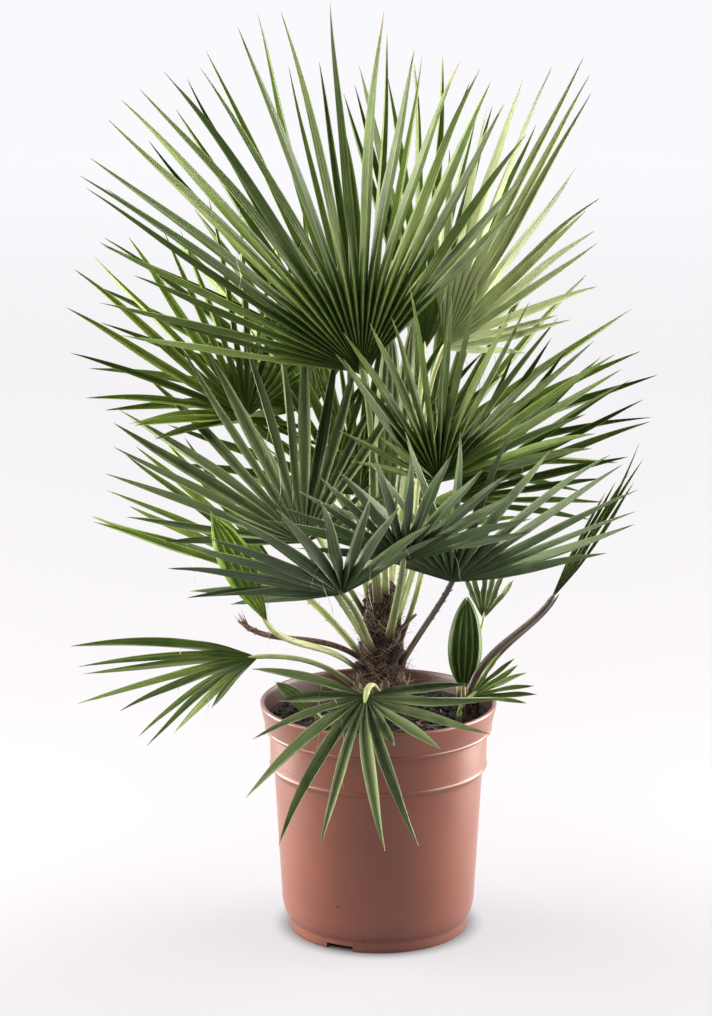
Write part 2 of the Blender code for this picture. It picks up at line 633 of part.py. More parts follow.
def blade_points(frond, hub, number, reach, swing, lift, room=0.0):
    """Points of one free blade past the web: an edge, two keel points and the other edge
    at each station, then the tip.

    The blade leaves the web straight along its way. Past that it bends by swing
    across the fan and by lift out of it, and droops with the square of its length.
    """
    normal = fan_axes(frond)[0]
    way = blade_way(frond, blade_angle(frond, number + 0.5))
    across = unit(np.cross(normal, way))
    free = reach - frond.split
    aside = across * swing + normal * lift
    spacing = math.radians(frond.spread / frond.blades)
    points = []
    for share, width_share in zip((*BLADE_STATIONS, 1.0), (*BLADE_WIDTH_SHARES, 0.0)):
        along = frond.split + free * share
        middle = hub + way * along + free * aside * share ** BEND_POWER
        middle = middle - Z_UP * free * frond.droop * share ** 2
        tangent = unit(way + aside * BEND_POWER * share ** (BEND_POWER - 1)
                       - Z_UP * 2 * frond.droop * share)
        if share == 1.0:
            return points + [middle + tangent * room * 4]
        side = unit(across - tangent * (across @ tangent))
        over = unit(normal - tangent * (normal @ tangent)) * frond.upper
        width = min(frond.width * width_share, FILL_SHARE * along * spacing)
        half = side * (width / 2 + (EDGE_ROOM if room else 0.0))
        rise, thick = over * FOLD_SHARE * width / 2, over * (BLADE_THICK / 2 + room)
        points += [middle - half + rise, middle - rise + thick, middle - rise - thick,
                   middle + half + rise]


def free_faces(first):
    """Side faces of a blade's free part, whose points start at a number, split alike
    on both faces."""
    faces = []
    last = first + 4 * (len(BLADE_STATIONS) - 1)
    for keel in (1, 2):
        for a in range(first, last, 4):
            b = a + 4
            faces += [(a, a + keel, b), (a + keel, b + keel, b),
                      (a + keel, a + 3, b + 3), (a + keel, b + 3, b + keel)]
        faces += [(last, last + keel, last + 4), (last + keel, last + 3, last + 4)]
    return faces


def blade_faces(root, free):
    """Faces of a blade, from its six web points to its tip."""
    faces = [(root[0], root[1], free), (root[4], root[5], free + 3)] + free_faces(free)
    for side in (0, 1):
        edge, keel, after, own = root[side], root[2 + side], root[4 + side], free + 1 + side
        faces += [(edge, keel, free), (keel, own, free), (keel, after, free + 3),
                  (keel, free + 3, own)]
    return faces


def outer_tree(points):
    """A closed stand-in for a blade's outer part, from its first station to its tip."""
    return tree_of(points, free_faces(0) + [(0, 1, 3), (0, 3, 2)])


def find_bend(frond, hub, number, draw, roomy_root, thicket, before):
    """Reach, swing and lift of a blade: the smallest change that touches nothing.

    before: the outer parts of the fan's blades that are grown already.
    """
    reach = blade_reach(frond, number, draw)
    lean = draw.uniform(-LEAN, LEAN), draw.uniform(-LEAN, LEAN)
    if number in MEASURED.get(frond.name, {}):
        reach, swing = MEASURED[frond.name][number]
        lean = swing, lean[1]
    bends = sorted(((a, b) for a in BEND_STEPS for b in BEND_STEPS), key=lambda c: c[0] ** 2 + c[1] ** 2)
    for share in LENGTHS_TO_TRY:
        far = frond.split + (reach - frond.split) * share
        for swing, lift in bends:
            bend = lean[0] + swing, lean[1] + lift
            free = blade_points(frond, hub, number, far, *bend, ROOM)
            if thicket.touches(roomy_root + free, blade_faces(range(6), 6), (frond.name,)):
                continue
            own = outer_tree(free)
            if not any(own.overlap(other) for other in before):
                return far, *bend
    raise ValueError(frond.name + " has a blade with no clear place")


def grow_fan(frond, hub, thicket):
    """Web and blades as one closed mesh, each blade where it is clear."""
    points, faces, first_keel = fan_web(frond, hub)
    roomy = fan_web(frond, hub, ROOM)[0]
    draw, before = Random(frond.name), []
    for number in range(frond.blades):
        root = blade_root(first_keel, number)
        found = find_bend(frond, hub, number, draw, [roomy[k] for k in root], thicket, before)
        free = blade_points(frond, hub, number, *found)
        before.append(outer_tree(free))
        thicket.add([points[k] for k in root] + free, blade_faces(range(6), 6), frond.name)
        faces += blade_faces(root, len(points))
        points += free
    return points, faces


def fan_sprout(frond, stands):
    normal, way = fan_axes(frond)[0], blade_way(frond, frond.middle)
    return Sprout(frond.name, stands, frond.root, np.array(frond.hub), normal, way,
                  unit(np.cross(normal, way)), lambda hub, room: fan_web(frond, hub, room)[:2],
                  frond.colour)


# Young leaves and the dry stalk
def pleated_sheet(leaf, base, room=0.0):
    """A folded young leaf: parallel pleats that run together at both ends."""
    reach = np.array(leaf.tip) - np.array(leaf.base)
    length, along, count = np.linalg.norm(reach), unit(reach), 2 * leaf.pleats + 1
    side = unit(np.cross(compass(*leaf.face), along))
    over = np.cross(along, side)
    points = [np.array(base)]
    for share in PLEAT_STATIONS:
        swell = math.sin(math.pi * share ** 0.85) ** 0.7
        half = leaf.width / 2 * swell + room
        middle = base + reach * share + over * length * PLEAT_BOW * math.sin(math.pi * share)
        for layer in (1, -1):
            for k in range(count):
                rise = leaf.fold / 2 * swell * (1 if k % 2 else -1)
                rise += layer * (PLEAT_THICK / 2 + room)
                points.append(middle + side * half * (2 * k / (count - 1) - 1) + over * rise)
    points.append(base + reach + along * room)
    last = len(points) - 1
    faces = []
    for layer in (0, 1):
        first, end = 1 + layer * count, last - (2 - layer) * count
        for k in range(count - 1):
            faces += [(0, first + k, first + k + 1), (last, end + k, end + k + 1)]
            for a in range(first + k, end + k, 2 * count):
                b = a + 2 * count
                faces += [(a, a + 1, b + 1), (a, b + 1, b)]
    for edge in (1, count):
        faces += [(0, edge, edge + count),
                  (last, last - 2 * count + edge - 1, last - count + edge - 1)]
        for a in range(edge, last - 2 * count, 2 * count):
            b = a + 2 * count
            faces += [(a, a + count, b + count), (a, b + count, b)]
    return points, faces


def young_sprout(leaf):
    normal, way = compass(*leaf.face), unit(np.array(leaf.tip) - np.array(leaf.base))
    return Sprout(leaf.name, leaf.stands, leaf.root, np.array(leaf.base), normal, way,
                  unit(np.cross(normal, way)), lambda base, room: pleated_sheet(leaf, base, room),
                  leaf.colour)


def dry_stump(hub, way, side, room):
    """The frayed end of the dry stalk, where its fan was."""
    wide, thick, length = DRY_STUMP
    ring = ((-1, 0), (0, 1), (1, 0), (0, -1))
    points = [hub - way * 0.004]
    points += [hub + way * length * 0.3 + side * a * (wide + room)
               + np.cross(side, way) * b * (thick + room) for a, b in ring]
    points.append(hub + way * length + side * wide)
    faces = [(0, 1 + k, 1 + (k + 1) % 4) for k in range(4)]
    return points, faces + [(5, 1 + k, 1 + (k + 1) % 4) for k in range(4)]


def dry_sprout():
    normal, way = compass(*DRY_FACE), compass(*DRY_WAY)
    side = unit(np.cross(normal, way))
    return Sprout(DRY_STALK, "trunk", DRY_ROOT, np.array(DRY_TIP), normal, way, side,
                  lambda hub, room: dry_stump(hub, way, side, room), LEAF_DRY)


# Stalks
def stalk_curve(start, way, hub, arrive, share):
    """Point and tangent of a leaf stalk: a cubic curve from its foot to the hub."""
    length = np.linalg.norm(hub - start)
    a, b = start + way * length * STALK_CURVE[0], hub - arrive * length * STALK_CURVE[1]
    s, t = share, 1 - share
    point = t ** 3 * start + 3 * t * t * s * a + 3 * t * s * s * b + s ** 3 * hub
    slope = 3 * t * t * (a - start) + 6 * t * s * (b - a) + 3 * s * s * (hub - b)
    return point, unit(slope)


def stalk_stations(length, pairs, draw):
    """Shares of the stalk's length, and how far the spines stand out there."""
    low, high = SPINE_SPAN
    base = SPINE_BASE / length
    stations = [(0.0, 0.0)]
    for pair in range(pairs):
        at = low + (high - low) * (pair + 0.6 * draw.random()) / pairs
        stations += [(at, 0.0), (at + 0.85 * base, SPINE_LENGTH), (at + base, 0.0)]
    return stations + [(0.97, 0.0)]


def stalk_shape(sprout, hub, turn, rise, room=0.0):
    """A four-sided stalk with pairs of hooked spines, and the shift from its first ring
    to its foot, in the trunk or the soil."""
    if sprout.stands == "soil":
        start, way = np.array((*sprout.root, SOIL_HEIGHT + SUCKER_COLLAR)), Z_UP
        side = unit(np.cross(Z_UP, hub - start))
        foot, neck, pairs = SUCKER_STEM, SUCKER_NECK, 0
        inward = -Z_UP * (SUCKER_DEPTH + SUCKER_COLLAR)
    else:
        azimuth, height = sprout.root[0] + turn, min(sprout.root[1] + rise, TRUNK_TOP - 0.004)
        start, side = trunk_surface(azimuth, height), compass(azimuth + 90)
        way = unit(unit(hub - start) + compass(azimuth, STALK_RISE) * 0.9)
        foot, neck, pairs = STALK_FOOT, STALK_NECK, SPINE_PAIRS
        inward = -compass(azimuth) * STALK_SUNK
    arrive = unit(sprout.way + 0.8 * unit(hub - start))
    end_side = sprout.side if side @ sprout.side > 0 else -sprout.side
    length = np.linalg.norm(hub - start)
    points = []
    for share, spine in stalk_stations(length, pairs, Random(sprout.name)):
        middle, tangent = stalk_curve(start, way, hub, arrive, share)
        across = side + (end_side - side) * share
        across = unit(across - tangent * (across @ tangent))
        over = np.cross(across, tangent)
        half = (foot[0] + (neck[0] - foot[0]) * share ** 0.6) / 2 + room
        thick = foot[1] + (neck[1] - foot[1]) * share
        points += [middle - across * (half + spine), middle + over * (thick * 0.4 + room),
                   middle + across * (half + spine), middle - over * (thick * 0.6 + room)]
    last = len(points) - 4
    points.append(hub + arrive * STALK_PAST_HUB)
    faces = [(0, 1, 2, 3)]
    for k in range(4):
        n = (k + 1) % 4
        faces.append((last + k, last + n, last + 4))
        for a in range(0, last, 4):
            faces += [(a + k, a + n, a + 4 + n), (a + k, a + 4 + n, a + 4 + k)]
    return points, faces, inward


def with_foot(points, faces, inward):
    """Lengthens a stalk into what it stands in."""
    count = len(points)
    faces = faces[1:] + [(k, (k + 1) % 4, count + (k + 1) % 4, count + k) for k in range(4)]
    faces.append(tuple(range(count, count + 4)))
    return points + [p + inward for p in points[:4]], faces


def seat(sprout, thicket):
    """Hub and stalk of a sprout, at the first place where stalk and head are clear."""
    rooted = sprout.stands == "trunk"
    turns, rises = (STALK_TURNS, STALK_RISES) if rooted else ((0,), (0.0,))
    choices = [(a, b, c) for a in STALK_SHIFTS for b in turns for c in rises]
    for shift, turn, rise in sorted(choices, key=lambda c: abs(c[0]) * 100 + abs(c[1]) / 12
                                                           + abs(c[2]) * 60):
        hub = sprout.hub + sprout.normal * shift
        roomy = stalk_shape(sprout, hub, turn, rise, ROOM)[:2], sprout.head(hub, ROOM)
        if not any(thicket.touches(*shape, (sprout.stands,)) for shape in roomy):
            stalk = stalk_shape(sprout, hub, turn, rise)
            thicket.add(*stalk[:2], sprout.name)
            thicket.add(*sprout.head(hub, ROOM), sprout.name)
            return hub, with_foot(*stalk)
    raise ValueError(sprout.name + " finds no clear place")


def build_plant(pot, soil):
    thicket = Thicket()
    for obj in (pot, soil):
        thicket.add([v.co for v in obj.data.vertices],
                    [tuple(p.vertices) for p in obj.data.polygons], obj.name)
    thicket.add(*trunk_core(), "trunk")
    fans = {frond.name: frond for frond in FRONDS + SUCKER_FANS}
    sprouts = [young_sprout(leaf) for leaf in YOUNG_LEAVES]
    sprouts += [fan_sprout(frond, "trunk") for frond in FRONDS]
    sprouts += [fan_sprout(frond, "soil") for frond in SUCKER_FANS] + [dry_sprout()]
    seats = [seat(sprout, thicket) for sprout in sprouts]
    stubs = place_stubs(thicket)
    build_trunk("trunk", stubs, material("fibrous_trunk", (0.070, 0.040, 0.034), 0.9))
    cutter = build_trunk("trunk_cutter", stubs, room=GAP)
    for sprout, (hub, stalk) in zip(sprouts, seats):
        fan = fans.get(sprout.name)
        head = grow_fan(fan, hub, thicket) if fan else sprout.head(hub, 0.0)
        leaf = solid(sprout.name, *head, material(sprout.name + "_leaf", sprout.colour, 0.5))
        unite(leaf, [solid("stalk", *stalk)])
        if sprout.stands == "trunk":
            cut(leaf, cutter)
    bpy.data.objects.remove(cutter)


clear_scene()
pot_body = build_pot()
soil_body = build_soil()
build_plant(pot_body, soil_body)
cut_soil_holes(soil_body)
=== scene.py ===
# %% [markdown]
# # A European fan palm in a nursery pot
# This notebook dresses a plain CAD model of a potted palm. The CAD model has the true sizes: a
# turned pot, a plug of soil, a short trunk and one solid for each frond. Each solid gets a finer
# piece in its place, and only crumbs and hairs are added to them. A leaf is a surface of two
# parameters, one along the blade and one across it, so numpy works out all of its points at once.

# %% Load the CAD model and keep its box
import math
from collections import namedtuple
from random import Random

import bmesh
import bpy
import numpy as np
from mathutils.kdtree import KDTree
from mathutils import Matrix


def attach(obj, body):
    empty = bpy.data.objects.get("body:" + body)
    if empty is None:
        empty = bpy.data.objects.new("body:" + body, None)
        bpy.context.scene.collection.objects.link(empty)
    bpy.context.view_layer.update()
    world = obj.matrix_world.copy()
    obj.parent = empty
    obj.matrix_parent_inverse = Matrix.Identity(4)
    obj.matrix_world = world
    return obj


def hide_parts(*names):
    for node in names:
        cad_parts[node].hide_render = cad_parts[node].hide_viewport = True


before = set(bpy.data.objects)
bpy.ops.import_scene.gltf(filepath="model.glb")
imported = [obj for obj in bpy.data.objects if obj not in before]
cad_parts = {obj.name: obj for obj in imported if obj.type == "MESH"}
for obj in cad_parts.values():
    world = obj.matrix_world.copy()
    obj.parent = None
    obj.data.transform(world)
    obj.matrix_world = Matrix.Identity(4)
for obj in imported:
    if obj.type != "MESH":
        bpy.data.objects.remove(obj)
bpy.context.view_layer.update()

# %% [markdown]
# The photograph was taken from a little above, with a long lens. The height and the tilt come
# from the ovals of the pot's rim and foot, which a real camera can only give in one way. The
# camera comes first, because it shows what each later step has to look like.

# %% Put the camera where the photograph was taken
CAMERA_PLACE, CAMERA_TILT, LENS_MM, SENSOR_MM = (-0.0245, -3.4, 1.27), 13.2, 114.66, 36.0


def make_camera():
    """A camera in front of the plant that looks down from the horizontal by its tilt."""
    data = bpy.data.cameras.new("camera")
    data.sensor_width, data.lens = SENSOR_MM, LENS_MM
    camera = bpy.data.objects.new("camera", data)
    camera.location = CAMERA_PLACE
    camera.rotation_euler = (math.radians(90 - CAMERA_TILT), 0.0, 0.0)
    bpy.context.scene.collection.objects.link(camera)
    bpy.context.scene.camera = camera


make_camera()
print("camera at", tuple(round(c, 2) for c in bpy.context.scene.camera.location))

# %% [markdown]
# ## Tools for surfaces
# Directions are unit vectors. A closed form is a run of rings, each with the same number of
# points: the faces between two rings are a strip of quads. A leaf is such a run too. Its ring
# goes across the upper face and comes back along the lower face, so a blade has two faces, a
# thin rim and no open edge.

# %% Directions and blends
Z_UP = np.array((0.0, 0.0, 1.0))


def dot(a, b):
    return np.sum(a * b, axis=-1, keepdims=True)


def unit(vectors):
    return vectors / np.linalg.norm(vectors, axis=-1, keepdims=True)


def compass(azimuth, elevation=0.0):
    """Unit vector at an azimuth from +X and an elevation from the horizontal, in degrees."""
    a, e = np.radians(azimuth), np.radians(elevation)
    return np.stack((np.cos(e) * np.cos(a), np.cos(e) * np.sin(a), np.sin(e) + 0 * a), axis=-1)


def ramp(x, low, high):
    """0 below low and 1 above high, with a smooth rise: 3t^2 - 2t^3 of the share t between."""
    t = np.clip((x - low) / (high - low), 0.0, 1.0)
    return t * t * (3 - 2 * t)


# %% Rings into closed faces
def loft_faces(count, rings, around):
    """Quads between neighbouring rings, and two ends closed by pairing point k with the
    point as far from the ring's end. Repeated for each of count equal forms."""
    i, k = np.meshgrid(np.arange(rings - 1), np.arange(around), indexing="ij")
    n = (k + 1) % around
    sides = np.stack((i * around + k, i * around + n, (i + 1) * around + n,
                      (i + 1) * around + k), axis=-1).reshape(-1, 4)
    k = np.arange(around // 2 - 1)
    end = np.stack((around - 1 - k, around - 2 - k, k + 1, k), axis=-1)
    faces = np.concatenate((sides, end, end[:, ::-1] + (rings - 1) * around))
    return (faces[None] + (np.arange(count) * rings * around)[:, None, None]).reshape(-1, 4)


def faces_out(points, faces):
    """Turns the faces round if the volume that they enclose comes out negative."""
    a, b, c, d = (points[faces[:, k]] for k in range(4))
    volume = np.sum(np.cross(a, b) * c) + np.sum(np.cross(a, c) * d)
    return faces if volume > 0 else faces[:, ::-1]


class Bundle:
    """Closed forms that become one mesh. Each point has a UV, a tint and a dryness."""

    def __init__(self):
        self.parts, self.count = [], 0

    def add(self, rings, uv, tint=0.5, dry=0.0, slot=0):
        """rings: (rings, around, 3), or (forms, rings, around, 3) for many equal forms."""
        many = rings if rings.ndim == 4 else rings[None]
        shape = many.shape[:3]
        points = many.reshape(-1, 3)
        faces = loft_faces(*shape)
        first = len(faces) // shape[0]
        faces = faces_out(points, faces[:first])[None] if shape[0] == 1 else np.stack(
            [faces_out(points, part) for part in faces.reshape(shape[0], first, 4)])
        faces = faces.reshape(-1, 4)
        each = [np.broadcast_to(np.asarray(value, float), shape).reshape(-1)
                for value in (uv[0], uv[1], tint, dry)]
        self.parts.append((points, faces + self.count, each, np.full(len(faces), slot)))
        self.count += len(points)

    def make(self, name, materials, sharp=38):
        """The mesh object, smooth except where faces meet at more than the sharp angle."""
        points, faces, each, slots = zip(*self.parts)
        each = [np.concatenate(values).astype(np.float32) for values in zip(*each)]
        mesh = bpy.data.meshes.new(name)
        mesh.from_pydata(np.concatenate(points).tolist(), [], np.concatenate(faces).tolist())
        mesh.polygons.foreach_set("material_index", np.concatenate(slots))
        corner = np.empty(len(mesh.loops), np.int32)
        mesh.loops.foreach_get("vertex_index", corner)
        uv = mesh.uv_layers.new(name="surface")
        uv.data.foreach_set("uv", np.stack((each[0], each[1]), axis=-1)[corner].ravel())
        for key, values in (("tint", each[2]), ("dry", each[3])):
            mesh.attributes.new(key, "FLOAT", "POINT").data.foreach_set("value", values)
        mesh.shade_smooth()
        mesh.set_sharp_from_angle(angle=math.radians(sharp))
        for material in materials:
            mesh.materials.append(material)
        piece = bpy.data.objects.new(name, mesh)
        bpy.context.scene.collection.objects.link(piece)
        return piece


def strand_rings(line, radius, around=3):
    """Many thin strands at once: line is (strands, rings, 3). A triangle is carried along each
    line, square to it, and thins by three quarters towards the end."""
    tangent = unit(np.gradient(line, axis=1))
    one = unit(np.cross(tangent, np.array((0.31, 0.22, 0.92))))
    two = np.cross(tangent, one)
    a = 2 * np.pi * np.arange(around) / around
    q = np.linspace(0, 1, line.shape[1])
    thin = (radius[:, None] * (1 - 0.75 * q ** 2))[..., None, None]
    return line[:, :, None] + thin * (one[:, :, None] * np.cos(a)[:, None]
                                      + two[:, :, None] * np.sin(a)[:, None])


def stand_for(piece, slot, *nodes):
    """The piece rides on the plant's one body and stands in the place of CAD nodes."""
    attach(piece, "root")
    if nodes:
        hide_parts(*nodes)
    triangles = sum(len(p.vertices) - 2 for p in piece.data.polygons)
    print(piece.name, triangles, "triangles")


# %% [markdown]
# ## Finishes
# Colours are written as sRGB hex, the way a paint chart gives them, and turned to linear light
# in one place. One function adds a shader node with its settings and links.

# %% Colour and node helpers
def paint(code):
    """sRGB hex to linear RGBA: each channel is raised to about 2.4 above a short straight toe."""
    channels = [int(code[k:k + 2], 16) / 255 for k in (0, 2, 4)]
    linear = [c / 12.92 if c <= 0.04045 else ((c + 0.055) / 1.055) ** 2.4 for c in channels]
    return (*linear, 1.0)


def add(tree, kind, inputs=None, out=0, **settings):
    """Adds a shader node and gives one of its outputs. A socket among the inputs is linked, and
    any other value is set. In a Mix the inputs 0, 6 and 7 are the factor and two colours, and in
    a Map Range 0, 1, 2 and 4 are the value, its low, its high and the result at the high."""
    node = tree.nodes.new("ShaderNode" + kind)
    for key, value in settings.items():
        setattr(node, key, value)
    for key, value in (inputs or {}).items():
        if isinstance(value, bpy.types.NodeSocket):
            tree.links.new(value, node.inputs[key])
        else:
            node.inputs[key].default_value = value
    return node.outputs[out]


RISE = {"interpolation_type": "SMOOTHSTEP"}  # a Map Range that rises smoothly
COLOUR = {"data_type": "RGBA", "out": 2}  # a Mix of two colours


def start_material(name, roughness, **sockets):
    """A material with its tree and its Principled shader."""
    material = bpy.data.materials.new(name)
    material.use_nodes = True
    shader = material.node_tree.nodes["Principled BSDF"]
    shader.inputs["Roughness"].default_value = roughness
    for key, value in sockets.items():
        shader.inputs[key].default_value = value
    return material, material.node_tree, shader


def finish_material(tree, shader, base, layers, height, distance, roughness=None):
    """Lays coloured layers over the base, each where its mask is high, and adds the relief."""
    for mask, code in layers:
        base = add(tree, "Mix", {0: mask, 6: base, 7: paint(code)}, **COLOUR)
    tree.links.new(base, shader.inputs["Base Color"])
    if height is not None:
        tree.links.new(add(tree, "Bump", {"Height": height, "Distance": distance}),
                       shader.inputs["Normal"])
    if roughness is not None:
        tree.links.new(roughness, shader.inputs["Roughness"])


# %% [markdown]
# A fan palm's blade is stiff and a little waxy. Fine veins run along it about a millimetre
# apart, with a pale rib in the fold and a pale thin margin, painted lighter still for the light
# that shines through the edge. The tip dries to a brownish grey. Painted shade darkens one half
# of each blade, its hub and the creases of the web.
# The pattern follows the blade, so it is drawn on the UV map: u runs from the hub to the tip
# and v runs across. The veins are drawn twice as coarse as the real ones, or they wouldn't show.

# %% Leaf blade finish
def leaf_blade(name, deep, light, margin, rib, edge=(0.43, 0.49, 0.5), painted_half_shade=0.5):
    """Waxy palm leaf. The tint of each blade mixes the greens deep and light. It is pale along
    the rib and the margin, and the margin is partly its own pale edge and partly painted light
    that shines through it. Painted shade darkens it towards the hub and in the creases where it
    is joined in the web, and the tip is dry. One half of each blade is darker than the other by a
    given share, painted shade as if the side light fell on the other half only. The margin starts
    and ends at two distances from the rib, and is as strong as the third number of edge."""
    material, tree, shader = start_material(name, 0.40, IOR=1.45)
    uv = add(tree, "UVMap", uv_map="surface")
    u, across = (add(tree, "SeparateXYZ", {0: uv}, out=k) for k in (0, 1))
    tint, dry = (add(tree, "Attribute", out="Fac", attribute_name=key) for key in ("tint", "dry"))
    v = add(tree, "Math", {0: across}, operation="FRACT")
    off = add(tree, "Math", {0: add(tree, "Math", {0: v, 1: -0.5})}, operation="ABSOLUTE")
    veins = add(tree, "Math", {0: add(tree, "Math", {0: v, 1: 2 * math.pi * 6.0},
                                      operation="MULTIPLY")}, operation="SINE")
    veins = add(tree, "Math", {0: veins, 1: 0.5, 2: 0.5}, operation="MULTIPLY_ADD")
    # Blotches of about 15 mm, and streaks about 40 mm long and 1 mm wide
    place = add(tree, "TexCoord", out="Object")
    mottle = add(tree, "TexNoise", {"Vector": place, "Scale": 65.0, "Detail": 3.0})
    streak = add(tree, "TexNoise", {"Vector": add(tree, "CombineXYZ", {
        0: add(tree, "Math", {0: u, 1: 8.0}, operation="MULTIPLY"),
        1: add(tree, "Math", {0: across, 1: 9.0}, operation="MULTIPLY"), 2: tint}),
        "Scale": 1.0, "Detail": 2.0})
    tone = add(tree, "Math", {0: mottle, 1: 0.7, 2: add(tree, "Math", {0: tint, 1: -0.35})},
               operation="MULTIPLY_ADD")
    tone = add(tree, "Math", {0: streak, 1: 0.5, 2: add(tree, "Math", {0: tone, 1: -0.25})},
               operation="MULTIPLY_ADD")
    base = add(tree, "Mix", {0: add(tree, "MapRange", {0: tone, 1: 0.0, 2: 1.0}, **RISE),
                             6: paint(deep), 7: paint(light)}, **COLOUR)
    # Painted shade: one half of each blade is darker, as if the side light fell on the other half
    # only
    painted_shade_half = add(tree, "MapRange", {0: v, 1: 0.54, 2: 0.46, 4: painted_half_shade}, **RISE)
    tip = add(tree, "Math", {0: mottle, 1: 0.04, 2: u}, operation="MULTIPLY_ADD")
    wilt = add(tree, "Math", {0: add(tree, "Math", {0: tip, 1: dry}), 1: 1.02},
               operation="SUBTRACT")
    # A blade is free from about a quarter of its length on, and joined to its neighbours before.
    # Its pale margin is partly its own pale edge and partly painted light that shines through it
    pale_margin_and_painted_glow = add(tree, "Math", {
        0: add(tree, "MapRange", {0: off, 1: edge[0], 2: edge[1], 4: edge[2]}, **RISE),
        1: add(tree, "MapRange", {0: u, 1: 0.20, 2: 0.34}, **RISE)}, operation="MULTIPLY")
    # Painted shade in the creases between the joined blades of the web
    painted_crease_shade = add(tree, "Math", {
        0: add(tree, "MapRange", {0: off, 1: 0.30, 2: 0.5, 4: 0.85}, **RISE),
        1: add(tree, "MapRange", {0: u, 1: 0.34, 2: 0.20}, **RISE)}, operation="MULTIPLY")
    finish_material(tree, shader, base, (
        (painted_shade_half, deep),
        (add(tree, "Math", {0: veins, 1: 0.10}, operation="MULTIPLY"), rib),
        (pale_margin_and_painted_glow, margin),
        (add(tree, "MapRange", {0: off, 1: 0.035, 2: 0.0, 4: 0.50}, **RISE), rib),
        # Painted shade towards the hub, where the blades crowd together
        (add(tree, "MapRange", {0: u, 1: 0.36, 2: 0.02, 4: 0.45}, **RISE), deep),
        (painted_crease_shade, "17220c"),
        (add(tree, "MapRange", {0: u, 1: 0.05, 2: 0.0, 4: 0.4}, **RISE), "8f9a4e"),
        (add(tree, "MapRange", {0: wilt, 1: -0.015, 2: 0.02, 4: 0.75}, **RISE), "a39468")),
        veins, 0.0002,
        add(tree, "Math", {0: mottle, 1: 0.22, 2: 0.30}, operation="MULTIPLY_ADD"))
    return material


# The third colour of each is the margin's: partly the blade's own pale edge and partly painted
# light shining through it
blade_finishes = {
    "leaf_green": leaf_blade("waxy_palm_leaf_green", "2c460f", "7b9446", "a4b658", "acb984"),
    "leaf_blue_green": leaf_blade("waxy_palm_leaf_grey_green", "283c1c", "647a52", "8c9d68",
                                  "9bab84"),
    "leaf_pale": leaf_blade("waxy_palm_leaf_pale", "7e8f5a", "c2cba2", "d8deb4", "e8edd4"),
    "leaf_bright": leaf_blade("waxy_palm_leaf_bright", "4f7d14", "a0be3a", "c3d46a", "c9d883",
                              edge=(0.46, 0.5, 0.35), painted_half_shade=0.45),
    # A lighter copy of the green: painted light for fans that lie in the shade of others
    "fresh": leaf_blade("waxy_palm_leaf_fresh", "38560f", "93ab4c", "b6c660", "b9c68a"),
    "grey": leaf_blade("waxy_palm_leaf_grey", "28391a", "8a9d6e", "a8b684", "b3c09a"),
    "young": leaf_blade("waxy_palm_leaf_young", "2f4c15", "54762c", "a9bd74", "b4c682",
                        edge=(0.47, 0.5, 0.65), painted_half_shade=0.20),
}
print("leaf finishes:", ", ".join(blade_finishes))

# %% [markdown]
# ## The pot
# It is injection-moulded polypropylene in a terracotta colour: a thick flared rim, a collar, and
# a body that narrows to a foot ring. Injection moulding leaves smooth rounded corners and fine
# rings that run round. The form could be modelled from a cylinder, but the real one is a turned
# shape, so it is a profile carried once round the axis. Each corner of the profile is replaced
# by a short arc first.

# %% The pot's profile
POT_HEIGHT, RIM_RADIUS, RIM_LIP_RADIUS, RIM_LIP_HEIGHT = 0.257, 0.130, 0.1235, 0.226
COLLAR_RADIUS, COLLAR_HEIGHT, BODY_TOP_RADIUS, BODY_LOW_RADIUS = 0.1195, 0.185, 0.1142, 0.1060
BODY_LOW_HEIGHT, FOOT_RADIUS, FOOT_HEIGHT, FOOT_INNER_RADIUS = 0.030, 0.099, 0.012, 0.088
PAD_RADIUS, UNDERCUT, WALL, RIM_THICK = 0.044, 0.005, 0.0028, 0.0060


def rounded(corners, steps=4):
    """Each corner (radius, height, round) becomes an arc: the curve (1-t)^2 a + 2t(1-t) corner
    + t^2 b between the points a and b that lie at the rounding's distance on its two sides."""
    xy, size = np.array([c[:2] for c in corners]), np.array([c[2] for c in corners])
    before, after = unit(xy[:-2] - xy[1:-1]), unit(xy[2:] - xy[1:-1])
    a, b = xy[1:-1] + before * size[1:-1, None], xy[1:-1] + after * size[1:-1, None]
    t = np.linspace(0, 1, steps)[None, :, None]
    arcs = (1 - t) ** 2 * a[:, None] + 2 * t * (1 - t) * xy[1:-1, None] + t * t * b[:, None]
    return np.concatenate((xy[:1], arcs.reshape(-1, 2), xy[-1:]))


